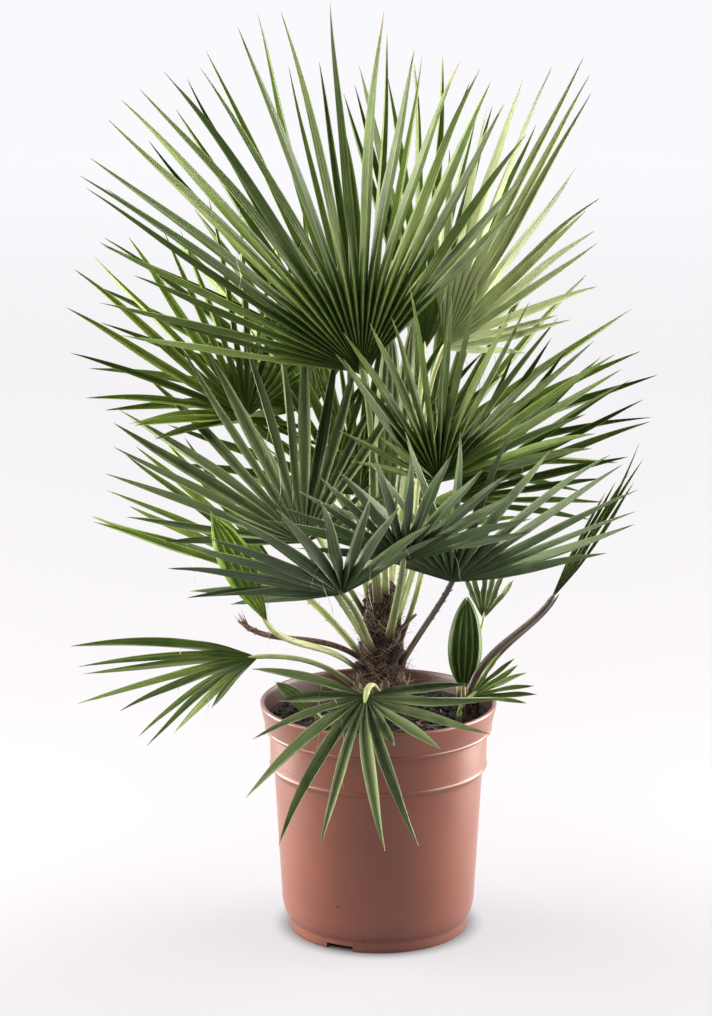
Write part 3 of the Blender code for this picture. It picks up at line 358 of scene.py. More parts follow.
pot_corners = [
    (0.0, 0.0, 0), (PAD_RADIUS, 0.0, .001), (PAD_RADIUS + .002, UNDERCUT, .001),
    (FOOT_INNER_RADIUS - .002, UNDERCUT, .001), (FOOT_INNER_RADIUS, 0.0, .001),
    (FOOT_RADIUS - .0002, 0.0, .0012), (FOOT_RADIUS, FOOT_HEIGHT, .0015),
    (BODY_LOW_RADIUS - .0025, FOOT_HEIGHT + .008, .003), (BODY_LOW_RADIUS, BODY_LOW_HEIGHT, .004),
    (BODY_TOP_RADIUS, COLLAR_HEIGHT - .005, .0015), (COLLAR_RADIUS - .0002, COLLAR_HEIGHT, .0008),
    (COLLAR_RADIUS, COLLAR_HEIGHT + .0020, .0006),
    (COLLAR_RADIUS - .0010, COLLAR_HEIGHT + .0030, .0004),
    (COLLAR_RADIUS - .0002, RIM_LIP_HEIGHT, .0015),
    (RIM_LIP_RADIUS + .0006, RIM_LIP_HEIGHT + .0004, .0008),
    (RIM_LIP_RADIUS + .0010, RIM_LIP_HEIGHT + .0024, .0006),
    (RIM_LIP_RADIUS + .0002, RIM_LIP_HEIGHT + .0034, .0004),
    (RIM_RADIUS, POT_HEIGHT, .0030), (RIM_RADIUS - RIM_THICK + .001, POT_HEIGHT, .0022),
    (RIM_LIP_RADIUS - WALL, RIM_LIP_HEIGHT + WALL + .001, .001),
    (COLLAR_RADIUS - WALL, RIM_LIP_HEIGHT + WALL, .0008),
    (COLLAR_RADIUS - .0009 - WALL, COLLAR_HEIGHT, .001),
    (BODY_TOP_RADIUS - WALL, COLLAR_HEIGHT - .006, .001),
    (BODY_LOW_RADIUS - WALL, BODY_LOW_HEIGHT, .004), (FOOT_RADIUS - WALL, UNDERCUT + WALL, .001),
    (PAD_RADIUS + .002, UNDERCUT + WALL, .001), (PAD_RADIUS - .001, WALL, .001), (0.0, WALL, 0)]
pot_profile = rounded(pot_corners)
print("pot profile of", len(pot_profile), "points, rim", 2 * RIM_RADIUS, "m across")


# %% Turn the profile and cut the foot notches and drain holes
def resampled(profile, step):
    """Puts extra points on long straight runs, so that no quad is longer than the step."""
    legs = np.linalg.norm(np.diff(profile, axis=0), axis=1)
    place = np.concatenate(((0.0,), np.cumsum(legs)))
    extra = np.arange(0, place[-1], step)
    every = np.unique(np.concatenate((place, extra)).round(6))
    return np.stack([np.interp(every, place, profile[:, k]) for k in (0, 1)], axis=-1)


def turned(name, profile, sides, push=None):
    """A closed turned mesh: radius r and height z of the profile at the angle a give
    (r cos a, r sin a, z). push(points) may move the points. The axis points close the poles."""
    angles = 2 * np.pi * (np.arange(sides) + 0.5) / sides
    ring = profile[1:-1]
    points = np.stack((ring[:, :1] * np.cos(angles), ring[:, :1] * np.sin(angles),
                       np.broadcast_to(ring[:, 1:], (len(ring), sides))), axis=-1)
    points = points.reshape(-1, 3)
    low, high = (0.0, 0.0, profile[0, 1]), (0.0, 0.0, profile[-1, 1])
    if push:
        points = push(points)
        low, high = push(np.array((low, high)))
    i, k = np.meshgrid(np.arange(len(ring) - 1), np.arange(sides), indexing="ij")
    n = (k + 1) % sides
    quads = np.stack((i * sides + k, i * sides + n, (i + 1) * sides + n, (i + 1) * sides + k),
                     axis=-1).reshape(-1, 4)
    k, n, last = np.arange(sides), (np.arange(sides) + 1) % sides, (len(ring) - 1) * sides
    caps = [np.stack((n, k, np.full(sides, len(points))), axis=-1),
            np.stack((last + k, last + n, np.full(sides, len(points) + 1)), axis=-1)]
    mesh = bpy.data.meshes.new(name)
    mesh.from_pydata(np.concatenate((points, (low, high))).tolist(), [],
                     quads.tolist() + caps[0].tolist() + caps[1].tolist())
    bm = bmesh.new()
    bm.from_mesh(mesh)
    bmesh.ops.recalc_face_normals(bm, faces=bm.faces)
    bm.to_mesh(mesh)
    bm.free()
    piece = bpy.data.objects.new(name, mesh)
    bpy.context.scene.collection.objects.link(piece)
    return piece


def block(corners_low, corners_high):
    """A cutter: two rings of corners, one over the other."""
    n = len(corners_low)
    faces = [tuple(range(n))[::-1], tuple(range(n, 2 * n))]
    faces += [(k, (k + 1) % n, n + (k + 1) % n, n + k) for k in range(n)]
    mesh = bpy.data.meshes.new("cutter")
    mesh.from_pydata(np.concatenate((corners_low, corners_high)).tolist(), [], faces)
    cutter = bpy.data.objects.new("cutter", mesh)
    bpy.context.scene.collection.objects.link(cutter)
    return cutter


def cut(piece, cutters):
    """Takes the cutters' shapes out of the piece and removes them."""
    for cutter in cutters:
        difference = piece.modifiers.new("cut", "BOOLEAN")
        difference.operation, difference.object = "DIFFERENCE", cutter
    graph = bpy.context.evaluated_depsgraph_get()
    mesh = bpy.data.meshes.new_from_object(piece.evaluated_get(graph))
    piece.modifiers.clear()
    piece.data = mesh
    for cutter in cutters:
        bpy.data.objects.remove(cutter)


NOTCH_AZIMUTH, NOTCH_HALF, NOTCH_HEIGHT, NOTCH_INWARD = -115.6, 0.0155, 0.0065, 0.0035
DRAIN_CIRCLE, DRAIN_RADIUS, PAST = 0.067, 0.005, 0.010

pot = turned("pot_shell", resampled(pot_profile, 0.006), 160)
notch_ways = compass(NOTCH_AZIMUTH + 120 * np.arange(3))
notch_sides = np.cross(Z_UP, notch_ways) * NOTCH_HALF
cutters = []
for way, side in zip(notch_ways, notch_sides):
    near, far = way * (FOOT_INNER_RADIUS - NOTCH_INWARD), way * (FOOT_RADIUS + PAST)
    low = np.array((near - side, far - side, far + side, near + side))
    cutters.append(block(low - Z_UP * PAST, low + Z_UP * NOTCH_HEIGHT))
drain_turn = compass(np.arange(24) * 15.0) * DRAIN_RADIUS
for way in compass(60 * (np.arange(6) + 0.5)) * DRAIN_CIRCLE:
    cutters.append(block(way + drain_turn - Z_UP * PAST, way + drain_turn + Z_UP * 2 * PAST))
cut(pot, cutters)
pot.data.shade_smooth()
pot.data.set_sharp_from_angle(angle=math.radians(50))
print("pot with", len(notch_ways), "foot notches and", len(cutters) - len(notch_ways), "drains")

# %% [markdown]
# The plastic is coloured through and has a soft shine, so a thin clear coat lies over its base.
# Soil marks it with dust and splashes at the foot, and painted shade darkens the rim's inner wall.
# They could be painted by hand, but masks that follow the height and the radius put the marks
# where water and soil do, and the shade where the rim keeps the light out.

# %% Terracotta-coloured plastic
def moulded_plastic():
    """Polypropylene: even colour, a soft broad highlight and fine rings left by the mould.
    Watering leaves soil dust and splashes near the foot, and painted shade darkens the rim's inner
    wall."""
    material, tree, shader = start_material("moulded_terracotta_polypropylene", 0.40, **{
        "IOR": 1.49, "Coat Weight": 0.30, "Coat Roughness": 0.36})
    place = add(tree, "TexCoord", out="Object")
    z = add(tree, "SeparateXYZ", {0: place}, out=2)
    broad, fine, spots, flecks = (add(tree, "TexNoise", {"Vector": place, "Scale": scale,
                                                         "Detail": detail})
                                  for scale, detail in ((14, 4), (260, 5), (45, 5), (150, 2)))
    patches = add(tree, "MapRange", {0: broad, 1: 0.35, 2: 0.65, 4: 0.6}, **RISE)
    base = add(tree, "Mix", {0: patches, 6: paint("6c3827"), 7: paint("623222")}, **COLOUR)
    # Soil dust: less with every millimetre above the foot
    dust = add(tree, "Math", {0: z, 1: -9.0, 2: spots}, operation="MULTIPLY_ADD")
    splash = add(tree, "Math", {0: z, 1: -0.9, 2: flecks}, operation="MULTIPLY_ADD")
    # The mould leaves rings 2.4 mm apart here, twice as coarse as the real ones, to show at all,
    # and the collar has low ribs 4 mm apart
    rings, ribs = (add(tree, "Math", {0: add(tree, "Math", {0: z, 1: 2 * math.pi / step},
                                             operation="MULTIPLY")}, operation="SINE")
                   for step in (0.0024, 0.0040))
    collar = add(tree, "Math", {0: add(tree, "MapRange", {0: z, 1: 0.190, 2: 0.194}, **RISE),
                                1: add(tree, "MapRange", {0: z, 1: 0.222, 2: 0.218}, **RISE)},
                 operation="MULTIPLY")
    ribs = add(tree, "Math", {0: add(tree, "Math", {0: ribs, 1: collar}, operation="MULTIPLY"),
                              1: 0.3, 2: fine}, operation="MULTIPLY_ADD")
    # Painted shade on the rim's inner wall, where little light falls: there the radius is small
    # for its height
    x, y = (add(tree, "SeparateXYZ", {0: place}, out=k) for k in (0, 1))
    radius = add(tree, "Math", {0: add(tree, "Math", {0: x, 1: x, 2: add(
        tree, "Math", {0: y, 1: y}, operation="MULTIPLY")}, operation="MULTIPLY_ADD"), 1: 0.5},
        operation="POWER")
    painted_shade_inside = add(tree, "Math", {0: z, 1: -0.14, 2: radius}, operation="MULTIPLY_ADD")
    painted_shade_inside = add(tree, "Math", {
        0: add(tree, "MapRange", {0: painted_shade_inside, 1: 0.0906, 2: 0.0894, 4: 0.85}, **RISE),
        1: add(tree, "MapRange", {0: z, 1: 0.2285, 2: 0.2292}, **RISE)}, operation="MULTIPLY")
    finish_material(tree, shader, base, (
        (add(tree, "MapRange", {0: dust, 1: 0.36, 2: 0.56, 4: 0.45}, **RISE), "4f352c"),
        (add(tree, "MapRange", {0: splash, 1: 0.66, 2: 0.70, 4: 0.8}, **RISE), "2f211d"),
        (painted_shade_inside, "2e1a18")),
        add(tree, "Math", {0: rings, 1: 0.35, 2: ribs}, operation="MULTIPLY_ADD"), 0.00008,
        add(tree, "Math", {0: fine, 1: 0.10, 2: 0.30}, operation="MULTIPLY_ADD"))
    return material


pot.data.materials.clear()
pot.data.materials.append(moulded_plastic())
stand_for(pot, "terracotta_plastic", "pot")

# %% [markdown]
# ## The soil
# Potting soil is peat with some bark: a dark rough bed that sinks a little in the middle, with
# loose crumbs on it. The bed is turned like the pot and pushed up and down by a sum of waves.
# The crumbs are little closed lofts that lie on the bed.

# %% The soil bed
SOIL_HEIGHT = 0.238


def ground(x, y):
    """Height of the bed: waves about 60, 21 and 9 mm long and 2.2, 1.6 and 1 mm high, and a low
    rise of 3 mm round the trunk."""
    waves = 0.0011 * np.sin(105 * x + 1.3) * np.cos(96 * y + 0.4)
    waves += 0.0008 * np.sin(260 * x - 140 * y) + 0.0005 * np.sin(610 * x + 380 * y + 2)
    return SOIL_HEIGHT - 0.001 + waves + 0.003 * np.exp(-(x * x + y * y) / 0.0022)


def push_bed(points):
    """Moves the top's points to the height of the ground, less near the edge."""
    r = np.hypot(points[:, 0], points[:, 1])
    top = (points[:, 2] > SOIL_HEIGHT - 1e-4) * ramp(r, 0.121, 0.112)
    z = points[:, 2] + top * (ground(points[:, 0], points[:, 1]) - points[:, 2])
    return np.stack((points[:, 0], points[:, 1], z), axis=-1)


# The soil stays half a millimetre or more inside the pot's wall, which leans out above the lip
LIP_INSIDE = 0.2298
slope = (RIM_RADIUS - RIM_THICK - RIM_LIP_RADIUS + WALL) / (POT_HEIGHT - .003 - LIP_INSIDE)
soil_edge = RIM_LIP_RADIUS - WALL + slope * (SOIL_HEIGHT - LIP_INSIDE) - .0008
soil_profile = np.array([(0, SOIL_HEIGHT), (soil_edge, SOIL_HEIGHT), (.1198, .2302),
                         (.1160, .2284), (.1152, .1850), (.1108, .1790), (.1027, .0300),
                         (.0955, .0082), (.0462, .0082), (.0428, .0032), (0, .0032)])
soil = turned("soil_bed", resampled(soil_profile, 0.0025), 150, push_bed)
soil.data.shade_smooth()
print("soil", round(2 * soil_edge, 3), "m across, its top at", SOIL_HEIGHT, "m")


# %% Crumbs of peat and bark
def crumbs(name, count, seed):
    """Each crumb: four rings of six points on a ball, stretched along three axes and pushed
    in and out by up to 15 percent, laid on the ground at a random place and turn."""
    draw = np.random.default_rng(seed)
    lift, turn = np.linspace(-1.25, 1.25, 4), np.arange(6) * np.pi / 3
    ball = np.stack((np.cos(lift)[:, None] * np.cos(turn), np.cos(lift)[:, None] * np.sin(turn),
                     np.sin(lift)[:, None] + 0 * turn), axis=-1)
    size = 0.0009 + 0.0026 * draw.random((count, 1, 1, 1)) ** 3
    form = ball[None] * size * draw.uniform(0.6, 1.5, (count, 1, 1, 3))
    form = form * draw.uniform(0.85, 1.15, (count, 4, 6, 1))
    a = draw.uniform(0, 2 * np.pi, (count, 1, 1))
    x = form[..., 0] * np.cos(a) - form[..., 1] * np.sin(a)
    y = form[..., 0] * np.sin(a) + form[..., 1] * np.cos(a)
    r = 0.117 * np.sqrt(draw.random((count, 1, 1)))
    b = draw.uniform(0, 2 * np.pi, (count, 1, 1))
    px, py = r * np.cos(b), r * np.sin(b)
    z = form[..., 2] + ground(px, py) + 0.3 * size[..., 0]
    bundle = Bundle()
    bundle.add(np.stack((x + px, y + py, z), axis=-1), (0.5, 0.5),
               tint=draw.random((count, 1, 1)) ** 2)
    return bundle.make(name, [potting_soil])


def dark_peat():
    """Peat and bark: almost black with violet-brown crumbs, and a few pale specks of perlite."""
    material, tree, shader = start_material("peat_potting_soil", 0.95)
    place = add(tree, "TexCoord", out="Object")
    tint = add(tree, "Attribute", out="Fac", attribute_name="tint")
    grain, specks = (add(tree, "TexNoise", {"Vector": place, "Scale": scale, "Detail": detail,
                                            "Roughness": 0.7})
                     for scale, detail in ((420, 6), (700, 2)))
    base = add(tree, "Mix", {0: add(tree, "MapRange", {0: grain, 1: 0.35, 2: 0.72}, **RISE),
                             6: paint("08060a"), 7: paint("1d171c")}, **COLOUR)
    finish_material(tree, shader, base, (
        (add(tree, "MapRange", {0: tint, 1: 0.55, 2: 1.0, 4: 0.40}, **RISE), "4a3a30"),
        (add(tree, "MapRange", {0: specks, 1: 0.73, 2: 0.77, 4: 0.8}, **RISE), "a39a94")),
        grain, 0.0015)
    return material


potting_soil = dark_peat()
soil.data.materials.append(potting_soil)
stand_for(soil, "potting_soil", "soil")
stand_for(crumbs("soil_crumbs", 1500, 5), "potting_soil")

# %% [markdown]
# ## Where the CAD put each leaf
# The CAD turns a stalk or bends a blade aside where it would cross a neighbour. What it chose
# isn't written in the frame, but it can be read from the solids: a solid has a corner at the
# tip of each blade. So the table below gives the same fans as the CAD's own source, and each
# fan's shift, turns and bends are found by looking for the choice whose points are corners.

# %% The fans
Frond = namedtuple("Frond", "name hub face middle spread blades reach side split width"
                            " cup droop upper root slot")
FRONDS = (
    Frond("frond_crown_front", (-0.018, -0.060, 0.633), (-90, -4), 111, 134, 25,
          0.428, 0.53, 0.100, 0.0115, -12, 0.03, -1, (-105, 0.372), "leaf_green"),
    Frond("frond_over_rim", (-0.014, -0.128, 0.299), (-90, 35), 266, 220, 13,
          0.174, 0.78, 0.034, 0.0160, 10, 0.10, 1, (-95, 0.262), "leaf_green"),
    Frond("frond_low_left", (-0.130, -0.040, 0.317), (-90, 68), 207, 80, 9,
          0.208, 0.90, 0.045, 0.0140, 10, 0.06, 1, (165, 0.268), "leaf_green"),
    Frond("frond_centre_front", (0.025, -0.120, 0.444), (-90, -35), 88, 160, 13,
          0.180, 0.80, 0.045, 0.0160, -10, 0.05, -1, (-70, 0.330), "leaf_blue_green"),
    Frond("frond_front_low", (-0.039, -0.100, 0.403), (-90, -46), 122, 172, 13,
          0.212, 0.62, 0.045, 0.0170, -10, 0.05, -1, (-120, 0.318), "leaf_blue_green"),
    Frond("frond_mid_left", (-0.079, -0.080, 0.453), (-88, 22), 118, 132, 16,
          0.262, 0.66, 0.065, 0.0125, 10, 0.04, 1, (-150, 0.325), "leaf_blue_green"),
    Frond("frond_right", (0.063, -0.050, 0.512), (-78, -10), 72, 134, 18,
          0.240, 0.76, 0.065, 0.0120, -10, 0.04, -1, (-40, 0.345), "leaf_green"),
    Frond("frond_right_low", (0.078, -0.060, 0.406), (-90, -38), 80, 168, 15,
          0.262, 0.45, 0.055, 0.0135, -10, 0.04, -1, (-30, 0.300), "leaf_blue_green"),
    Frond("frond_left", (-0.140, -0.020, 0.577), (-82, 14), 114, 160, 19,
          0.244, 0.62, 0.055, 0.0115, 10, 0.04, 1, (170, 0.350), "leaf_green"),
    Frond("frond_right_high", (0.070, 0.060, 0.635), (-146, 18), 56, 106, 17,
          0.395, 0.44, 0.100, 0.0120, 10, 0.03, 1, (30, 0.372), "leaf_pale"),
    Frond("frond_right_back", (0.078, 0.030, 0.474), (-104, 14), 33, 80, 11,
          0.245, 0.76, 0.060, 0.0135, 10, 0.03, 1, (5, 0.330), "leaf_green"),
    Frond("frond_crown_mid", (-0.014, 0.030, 0.610), (-90, 10), 108, 92, 14,
          0.400, 0.82, 0.100, 0.0120, 10, 0.03, 1, (110, 0.376), "leaf_green"),
    Frond("frond_crown_right", (0.050, 0.100, 0.625), (-60, 12), 82, 60, 10,
          0.335, 0.86, 0.090, 0.0130, 8, 0.03, 1, (70, 0.368), "leaf_green"),
    Frond("frond_left_back", (-0.104, 0.040, 0.385), (-110, 12), 151, 50, 8,
          0.240, 0.80, 0.060, 0.0135, 8, 0.03, 1, (150, 0.300), "leaf_green"),
    Frond("frond_back_left", (-0.070, 0.120, 0.560), (-60, 38), 118, 150, 12,
          0.300, 0.75, 0.070, 0.0145, 10, 0.05, 1, (120, 0.350), "leaf_green"),
    Frond("frond_back_right", (0.060, 0.130, 0.500), (-120, 38), 60, 150, 12,
          0.280, 0.75, 0.070, 0.0145, 10, 0.05, 1, (60, 0.335), "leaf_green"),
    Frond("frond_back_low", (-0.010, 0.120, 0.400), (-90, 60), 90, 170, 12,
          0.230, 0.75, 0.060, 0.0150, 10, 0.08, 1, (95, 0.300), "leaf_green"),
    Frond("frond_back_centre", (-0.024, 0.070, 0.470), (-90, 20), 98, 150, 14,
          0.250, 0.80, 0.065, 0.0125, 10, 0.04, 1, (100, 0.345), "leaf_green"),
    Frond("sucker_fan_pale", (0.116, 0.052, 0.334), (-100, 0), 84, 70, 6,
          0.062, 0.90, 0.040, 0.0100, 0, 0.02, 1, (0.090, 0.054), "leaf_pale"),
    Frond("sucker_fan_tall", (0.186, 0.000, 0.368), (-100, 0), 60, 18, 6,
          0.200, 0.80, 0.110, 0.0110, 0, 0.02, 1, (0.100, 0.010), "leaf_green"),
    Frond("sucker_fan_low", (0.098, -0.030, 0.268), (-80, 40), 22, 70, 7,
          0.080, 0.80, 0.028, 0.0095, 6, 0.06, 1, (0.088, -0.024), "leaf_green"),
)
# Length from the hub and swing of the blades whose tips were measured in the photo
MEASURED = {
    "frond_crown_front": {4: (0.337, -0.043), 5: (0.347, -0.089), 6: (0.349, -0.134),
        7: (0.351, -0.076), 8: (0.389, -0.054), 9: (0.397, 0.001), 10: (0.398, 0.032),
        11: (0.392, 0.079), 12: (0.368, 0.144), 13: (0.381, 0.126), 14: (0.382, 0.111),
        15: (0.387, 0.059), 16: (0.381, 0.021), 17: (0.366, 0.060), 18: (0.363, 0.016),
        19: (0.349, -0.071), 20: (0.304, -0.019), 21: (0.262, -0.070), 22: (0.289, 0.042),
        23: (0.222, -0.114), 24: (0.263, -0.058)},
    "frond_over_rim": {0: (0.126, 0.001), 1: (0.093, -0.026), 2: (0.126, 0.004),
        3: (0.160, 0.067), 4: (0.174, 0.137), 5: (0.161, 0.083), 6: (0.155, 0.250),
        7: (0.159, 0.152), 8: (0.060, -0.002), 9: (0.094, 0.250), 10: (0.133, 0.250),
        11: (0.144, 0.250), 12: (0.110, 0.049)},
    "frond_low_left": {0: (0.202, 0.163), 1: (0.192, 0.173), 2: (0.189, -0.038),
        3: (0.204, 0.086), 4: (0.168, 0.102), 5: (0.175, 0.250), 6: (0.181, 0.174),
        7: (0.163, 0.125), 8: (0.115, 0.107)},
    "frond_mid_left": {9: (0.260, 0.003), 10: (0.250, 0.087), 11: (0.244, -0.020),
        12: (0.229, -0.088), 13: (0.224, -0.107), 15: (0.150, -0.036)},
    "frond_right": {2: (0.178, 0.012), 3: (0.235, 0.013), 4: (0.236, -0.057),
        5: (0.228, -0.055), 6: (0.203, -0.105), 7: (0.223, -0.078), 8: (0.227, -0.018),
        9: (0.215, -0.108)},
    "frond_right_low": {0: (0.167, 0.238), 1: (0.204, 0.169), 2: (0.216, 0.100),
        3: (0.237, 0.044), 4: (0.264, 0.080), 5: (0.277, -0.017)},
    "frond_left": {10: (0.237, 0.002), 11: (0.241, 0.004), 12: (0.247, -0.086),
        13: (0.229, -0.044), 14: (0.203, 0.018), 15: (0.175, 0.136), 16: (0.126, 0.250),
        17: (0.123, -0.001), 18: (0.103, 0.037)},
    "frond_right_high": {0: (0.171, 0.031), 1: (0.254, 0.088), 2: (0.207, 0.013),
        3: (0.261, -0.018), 4: (0.260, 0.124), 5: (0.275, -0.073), 6: (0.261, 0.016),
        7: (0.277, -0.103), 8: (0.262, 0.100), 9: (0.334, 0.121), 10: (0.350, 0.019),
        11: (0.362, -0.080), 12: (0.334, -0.020), 13: (0.310, -0.142), 14: (0.274, -0.030)},
    "frond_right_back": {0: (0.162, 0.005), 1: (0.173, -0.001), 2: (0.173, 0.034),
        3: (0.203, -0.012), 4: (0.236, -0.001), 5: (0.241, -0.095), 6: (0.240, -0.062)},
    "frond_crown_mid": {2: (0.356, 0.043), 3: (0.378, 0.033), 4: (0.308, 0.099),
        5: (0.352, 0.006), 6: (0.354, -0.025), 7: (0.417, -0.114), 8: (0.398, -0.059),
        9: (0.379, -0.103), 10: (0.357, -0.162), 11: (0.349, -0.143)},
    "frond_crown_right": {0: (0.290, 0.087), 1: (0.250, 0.079), 2: (0.296, -0.022),
        3: (0.278, -0.111)},
    "frond_left_back": {4: (0.232, 0.113), 5: (0.207, 0.013), 6: (0.237, 0.008),
        7: (0.226, -0.126)},
    "sucker_fan_tall": {0: (0.165, 0.250), 1: (0.204, 0.218), 2: (0.190, 0.069),
        3: (0.172, -0.015), 4: (0.154, -0.128), 5: (0.139, -0.250)},
}
SHIFTS = (0.0, 0.010, -0.010, 0.020, -0.020, 0.032, -0.032, 0.045, -0.045)
TURNS = (0, 12, -12, 24, -24, 36, -36, 50, -50, 66, -66)
RISES = (0.0, 0.012, -0.012, 0.024, -0.024, 0.036, -0.036)
BENDS = np.array((0, .05, -.05, .10, -.10, .16, -.16, .23, -.23, .31, -.31, .40, -.40))
SHARES = np.array((1.0, 0.85, 0.70, 0.55, 0.40, 0.25))
print(len(FRONDS), "fans with", sum(frond.blades for frond in FRONDS), "blades")


# %% Directions in a fan
def fan_axes(frond):
    """The fan's normal towards its viewer, its right and its up."""
    normal = compass(*frond.face)
    right = unit(np.cross(-normal, Z_UP))
    return normal, right, np.cross(normal, right)


def blade_way(frond, place):
    """Directions at places counted in blades: cos(a) right + sin(a) up, lifted towards the
    normal by the cupping, which grows with the square of the distance from the middle."""
    normal, right, up = fan_axes(frond)
    share = 2 * np.asarray(place, float)[..., None] / frond.blades - 1
    a = np.radians(frond.middle + frond.spread / 2 * share)
    cup = np.radians(frond.cup) * share ** 2
    return np.cos(cup) * (np.cos(a) * right + np.sin(a) * up) + np.sin(cup) * normal


def corners_of(node):
    """The corners of a CAD node's mesh, and a search tree over them."""
    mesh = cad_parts[node].data
    points = np.empty(3 * len(mesh.vertices), np.float32)
    mesh.vertices.foreach_get("co", points)
    points = np.unique(points.reshape(-1, 3).astype(float).round(7), axis=0)
    tree = KDTree(len(points))
    for k, point in enumerate(points.tolist()):
        tree.insert(point, k)
    tree.balance()
    return points, tree


def misfit(tree, points):
    """Median distance from some points to their nearest corners of a solid."""
    return float(np.median([tree.find(point)[2] for point in np.asarray(points).tolist()]))


def find_hub(frond, tree):
    """The hub is the place on the fan's normal at which the web's edges meet corners."""
    normal, _, _ = fan_axes(frond)
    edges = blade_way(frond, np.arange(frond.blades + 1)) * frond.split
    hubs = [np.array(frond.hub) + normal * shift for shift in SHIFTS]
    return min(hubs, key=lambda hub: misfit(
        tree, hub + edges + normal * frond.upper * (0.0018 + 0.0006)))


Blade = namedtuple("Blade", "reach swing lift")


def find_blades(frond, hub, corners):
    """Reads every corner as if it were a blade's tip. With w the blade's direction, f its free
    length and d its droop, tip - hub - split w = f (w - d Z) + f swing across + f lift normal,
    so a corner gives f, swing and lift. The true tip gives values that the CAD may choose."""
    normal, _, _ = fan_axes(frond)
    draw, blades, worst = Random(frond.name), [], 0.0
    for number in range(frond.blades):
        share = (2 * number + 1) / frond.blades - 1
        reach = frond.reach * (1 - (1 - frond.side) * share ** 2) * draw.uniform(0.90, 1.04)
        lean = np.array((draw.uniform(-0.05, 0.05), draw.uniform(-0.05, 0.05)))
        reach, lean[0] = MEASURED.get(frond.name, {}).get(number, (reach, lean[0]))
        way = blade_way(frond, number + 0.5)
        axes = np.stack((way - Z_UP * frond.droop, unit(np.cross(normal, way)), normal), axis=-1)
        free, *bend = np.linalg.solve(axes, (corners - hub - way * frond.split).T)
        free = np.maximum(free, 1e-4)
        bend = np.stack(bend, axis=-1) / free[:, None]
        off = np.abs(bend[:, :, None] - lean[:, None] - BENDS).min(axis=2).max(axis=1)
        off = np.maximum(off, np.abs(free[:, None] / (reach - frond.split) - SHARES).min(axis=1))
        tip = int(np.argmin(off))
        blades.append(Blade(frond.split + free[tip], *bend[tip]))
        worst = max(worst, float(off[tip]))
    return blades, worst


# %% Leaf stalks
TRUNK_X, TRUNK_COLLAR, TRUNK_TOP, GOLDEN_ANGLE = 0.004, 0.243, 0.385, 137.5
# Width and thickness at a stalk's foot and at its neck, for stalks from the trunk and the soil
TRUNK_STALK = (0.0130, 0.0056), (0.0074, 0.0044)
SUCKER_STALK = (0.0080, 0.0060), (0.0050, 0.0040)


def trunk_radius(azimuth, height):
    """Radius of the trunk: a taper, plus the bases of old leaves, which climb in two crossing
    spirals. Each spiral is a saw tooth, and their product makes scales."""
    share = np.maximum(0.0, (height - TRUNK_COLLAR) / (TRUNK_TOP - TRUNK_COLLAR))
    plain = 0.0315 + (0.0150 - 0.0315) * share ** 0.9
    left = (height / 0.024 + 3 * azimuth / 360) % 1
    right = (height / 0.024 - 5 * azimuth / 360) % 1
    return plain + 0.006 * (left * right - 0.25) * np.minimum(1.0, 6 * share)


def trunk_surface(azimuth, height):
    return np.array((TRUNK_X, 0, height)) + compass(azimuth) * trunk_radius(azimuth, height)


Stalk = namedtuple("Stalk", "start way hub arrive side end_side foot neck spines sunk")


def stalk_from(root, hub, way_out, side_out, turn, rise, in_soil):
    """Where a stalk starts and how it sets out, as in the CAD."""
    if in_soil:
        start, way = np.array((*root, SOIL_HEIGHT + 0.006)), Z_UP
        side, sizes = unit(np.cross(Z_UP, hub - start)), SUCKER_STALK
        inward = -Z_UP * 0.024
    else:
        azimuth, height = root[0] + turn, min(root[1] + rise, TRUNK_TOP - 0.004)
        start, side = trunk_surface(azimuth, height), compass(azimuth + 90)
        way = unit(unit(hub - start) + compass(azimuth, 62) * 0.9)
        sizes, inward = TRUNK_STALK, -compass(azimuth) * 0.010
    end_side = side_out if side @ side_out > 0 else -side_out
    return Stalk(start, way, hub, unit(way_out + 0.8 * unit(hub - start)), side, end_side,
                 *sizes, not in_soil, inward)


def stalk_line(stalk, share):
    """Cubic curve t^3 start + 3 t^2 s a + 3 t s^2 b + s^3 hub, with t = 1 - s. Gives its points,
    tangents, and the directions across the stalk and over it."""
    s = np.asarray(share, float)[..., None]
    t, length = 1 - s, np.linalg.norm(stalk.hub - stalk.start)
    a, b = stalk.start + stalk.way * length * 0.42, stalk.hub - stalk.arrive * length * 0.30
    point = t ** 3 * stalk.start + 3 * t * t * s * a + 3 * t * s * s * b + s ** 3 * stalk.hub
    tangent = unit(3 * t * t * (a - stalk.start) + 6 * t * s * (b - a)
                   + 3 * s * s * (stalk.hub - b))
    across = stalk.side + (stalk.end_side - stalk.side) * s
    across = unit(across - tangent * dot(across, tangent))
    return point, tangent, across, np.cross(across, tangent)


def stalk_half(stalk, share):
    """Half the stalk's width, and its thickness, at a share of its length."""
    half = (stalk.foot[0] + (stalk.neck[0] - stalk.foot[0]) * share ** 0.6) / 2
    return half, stalk.foot[1] + (stalk.neck[1] - stalk.foot[1]) * share


def find_stalk(name, root, hub, way_out, side_out, in_soil, tree):
    """The turn and rise at which the stalk's stations meet corners of the solid."""
    if in_soil:
        return stalk_from(root, hub, way_out, side_out, 0, 0, True)
    best = None
    for turn in TURNS:
        for rise in RISES:
            stalk = stalk_from(root, hub, way_out, side_out, turn, rise, False)
            draw = Random(name)
            at = np.array([0.24 + 0.62 * (pair + 0.6 * draw.random()) / 3 for pair in range(3)])
            point, _, across, over = stalk_line(stalk, at)
            half, thick = stalk_half(stalk, at[:, None])
            off = misfit(tree, np.concatenate((point - across * half, point + across * half,
                                               point + over * thick * 0.4)))
            if best is None or off < best[0]:
                best = off, stalk
    return best[1]


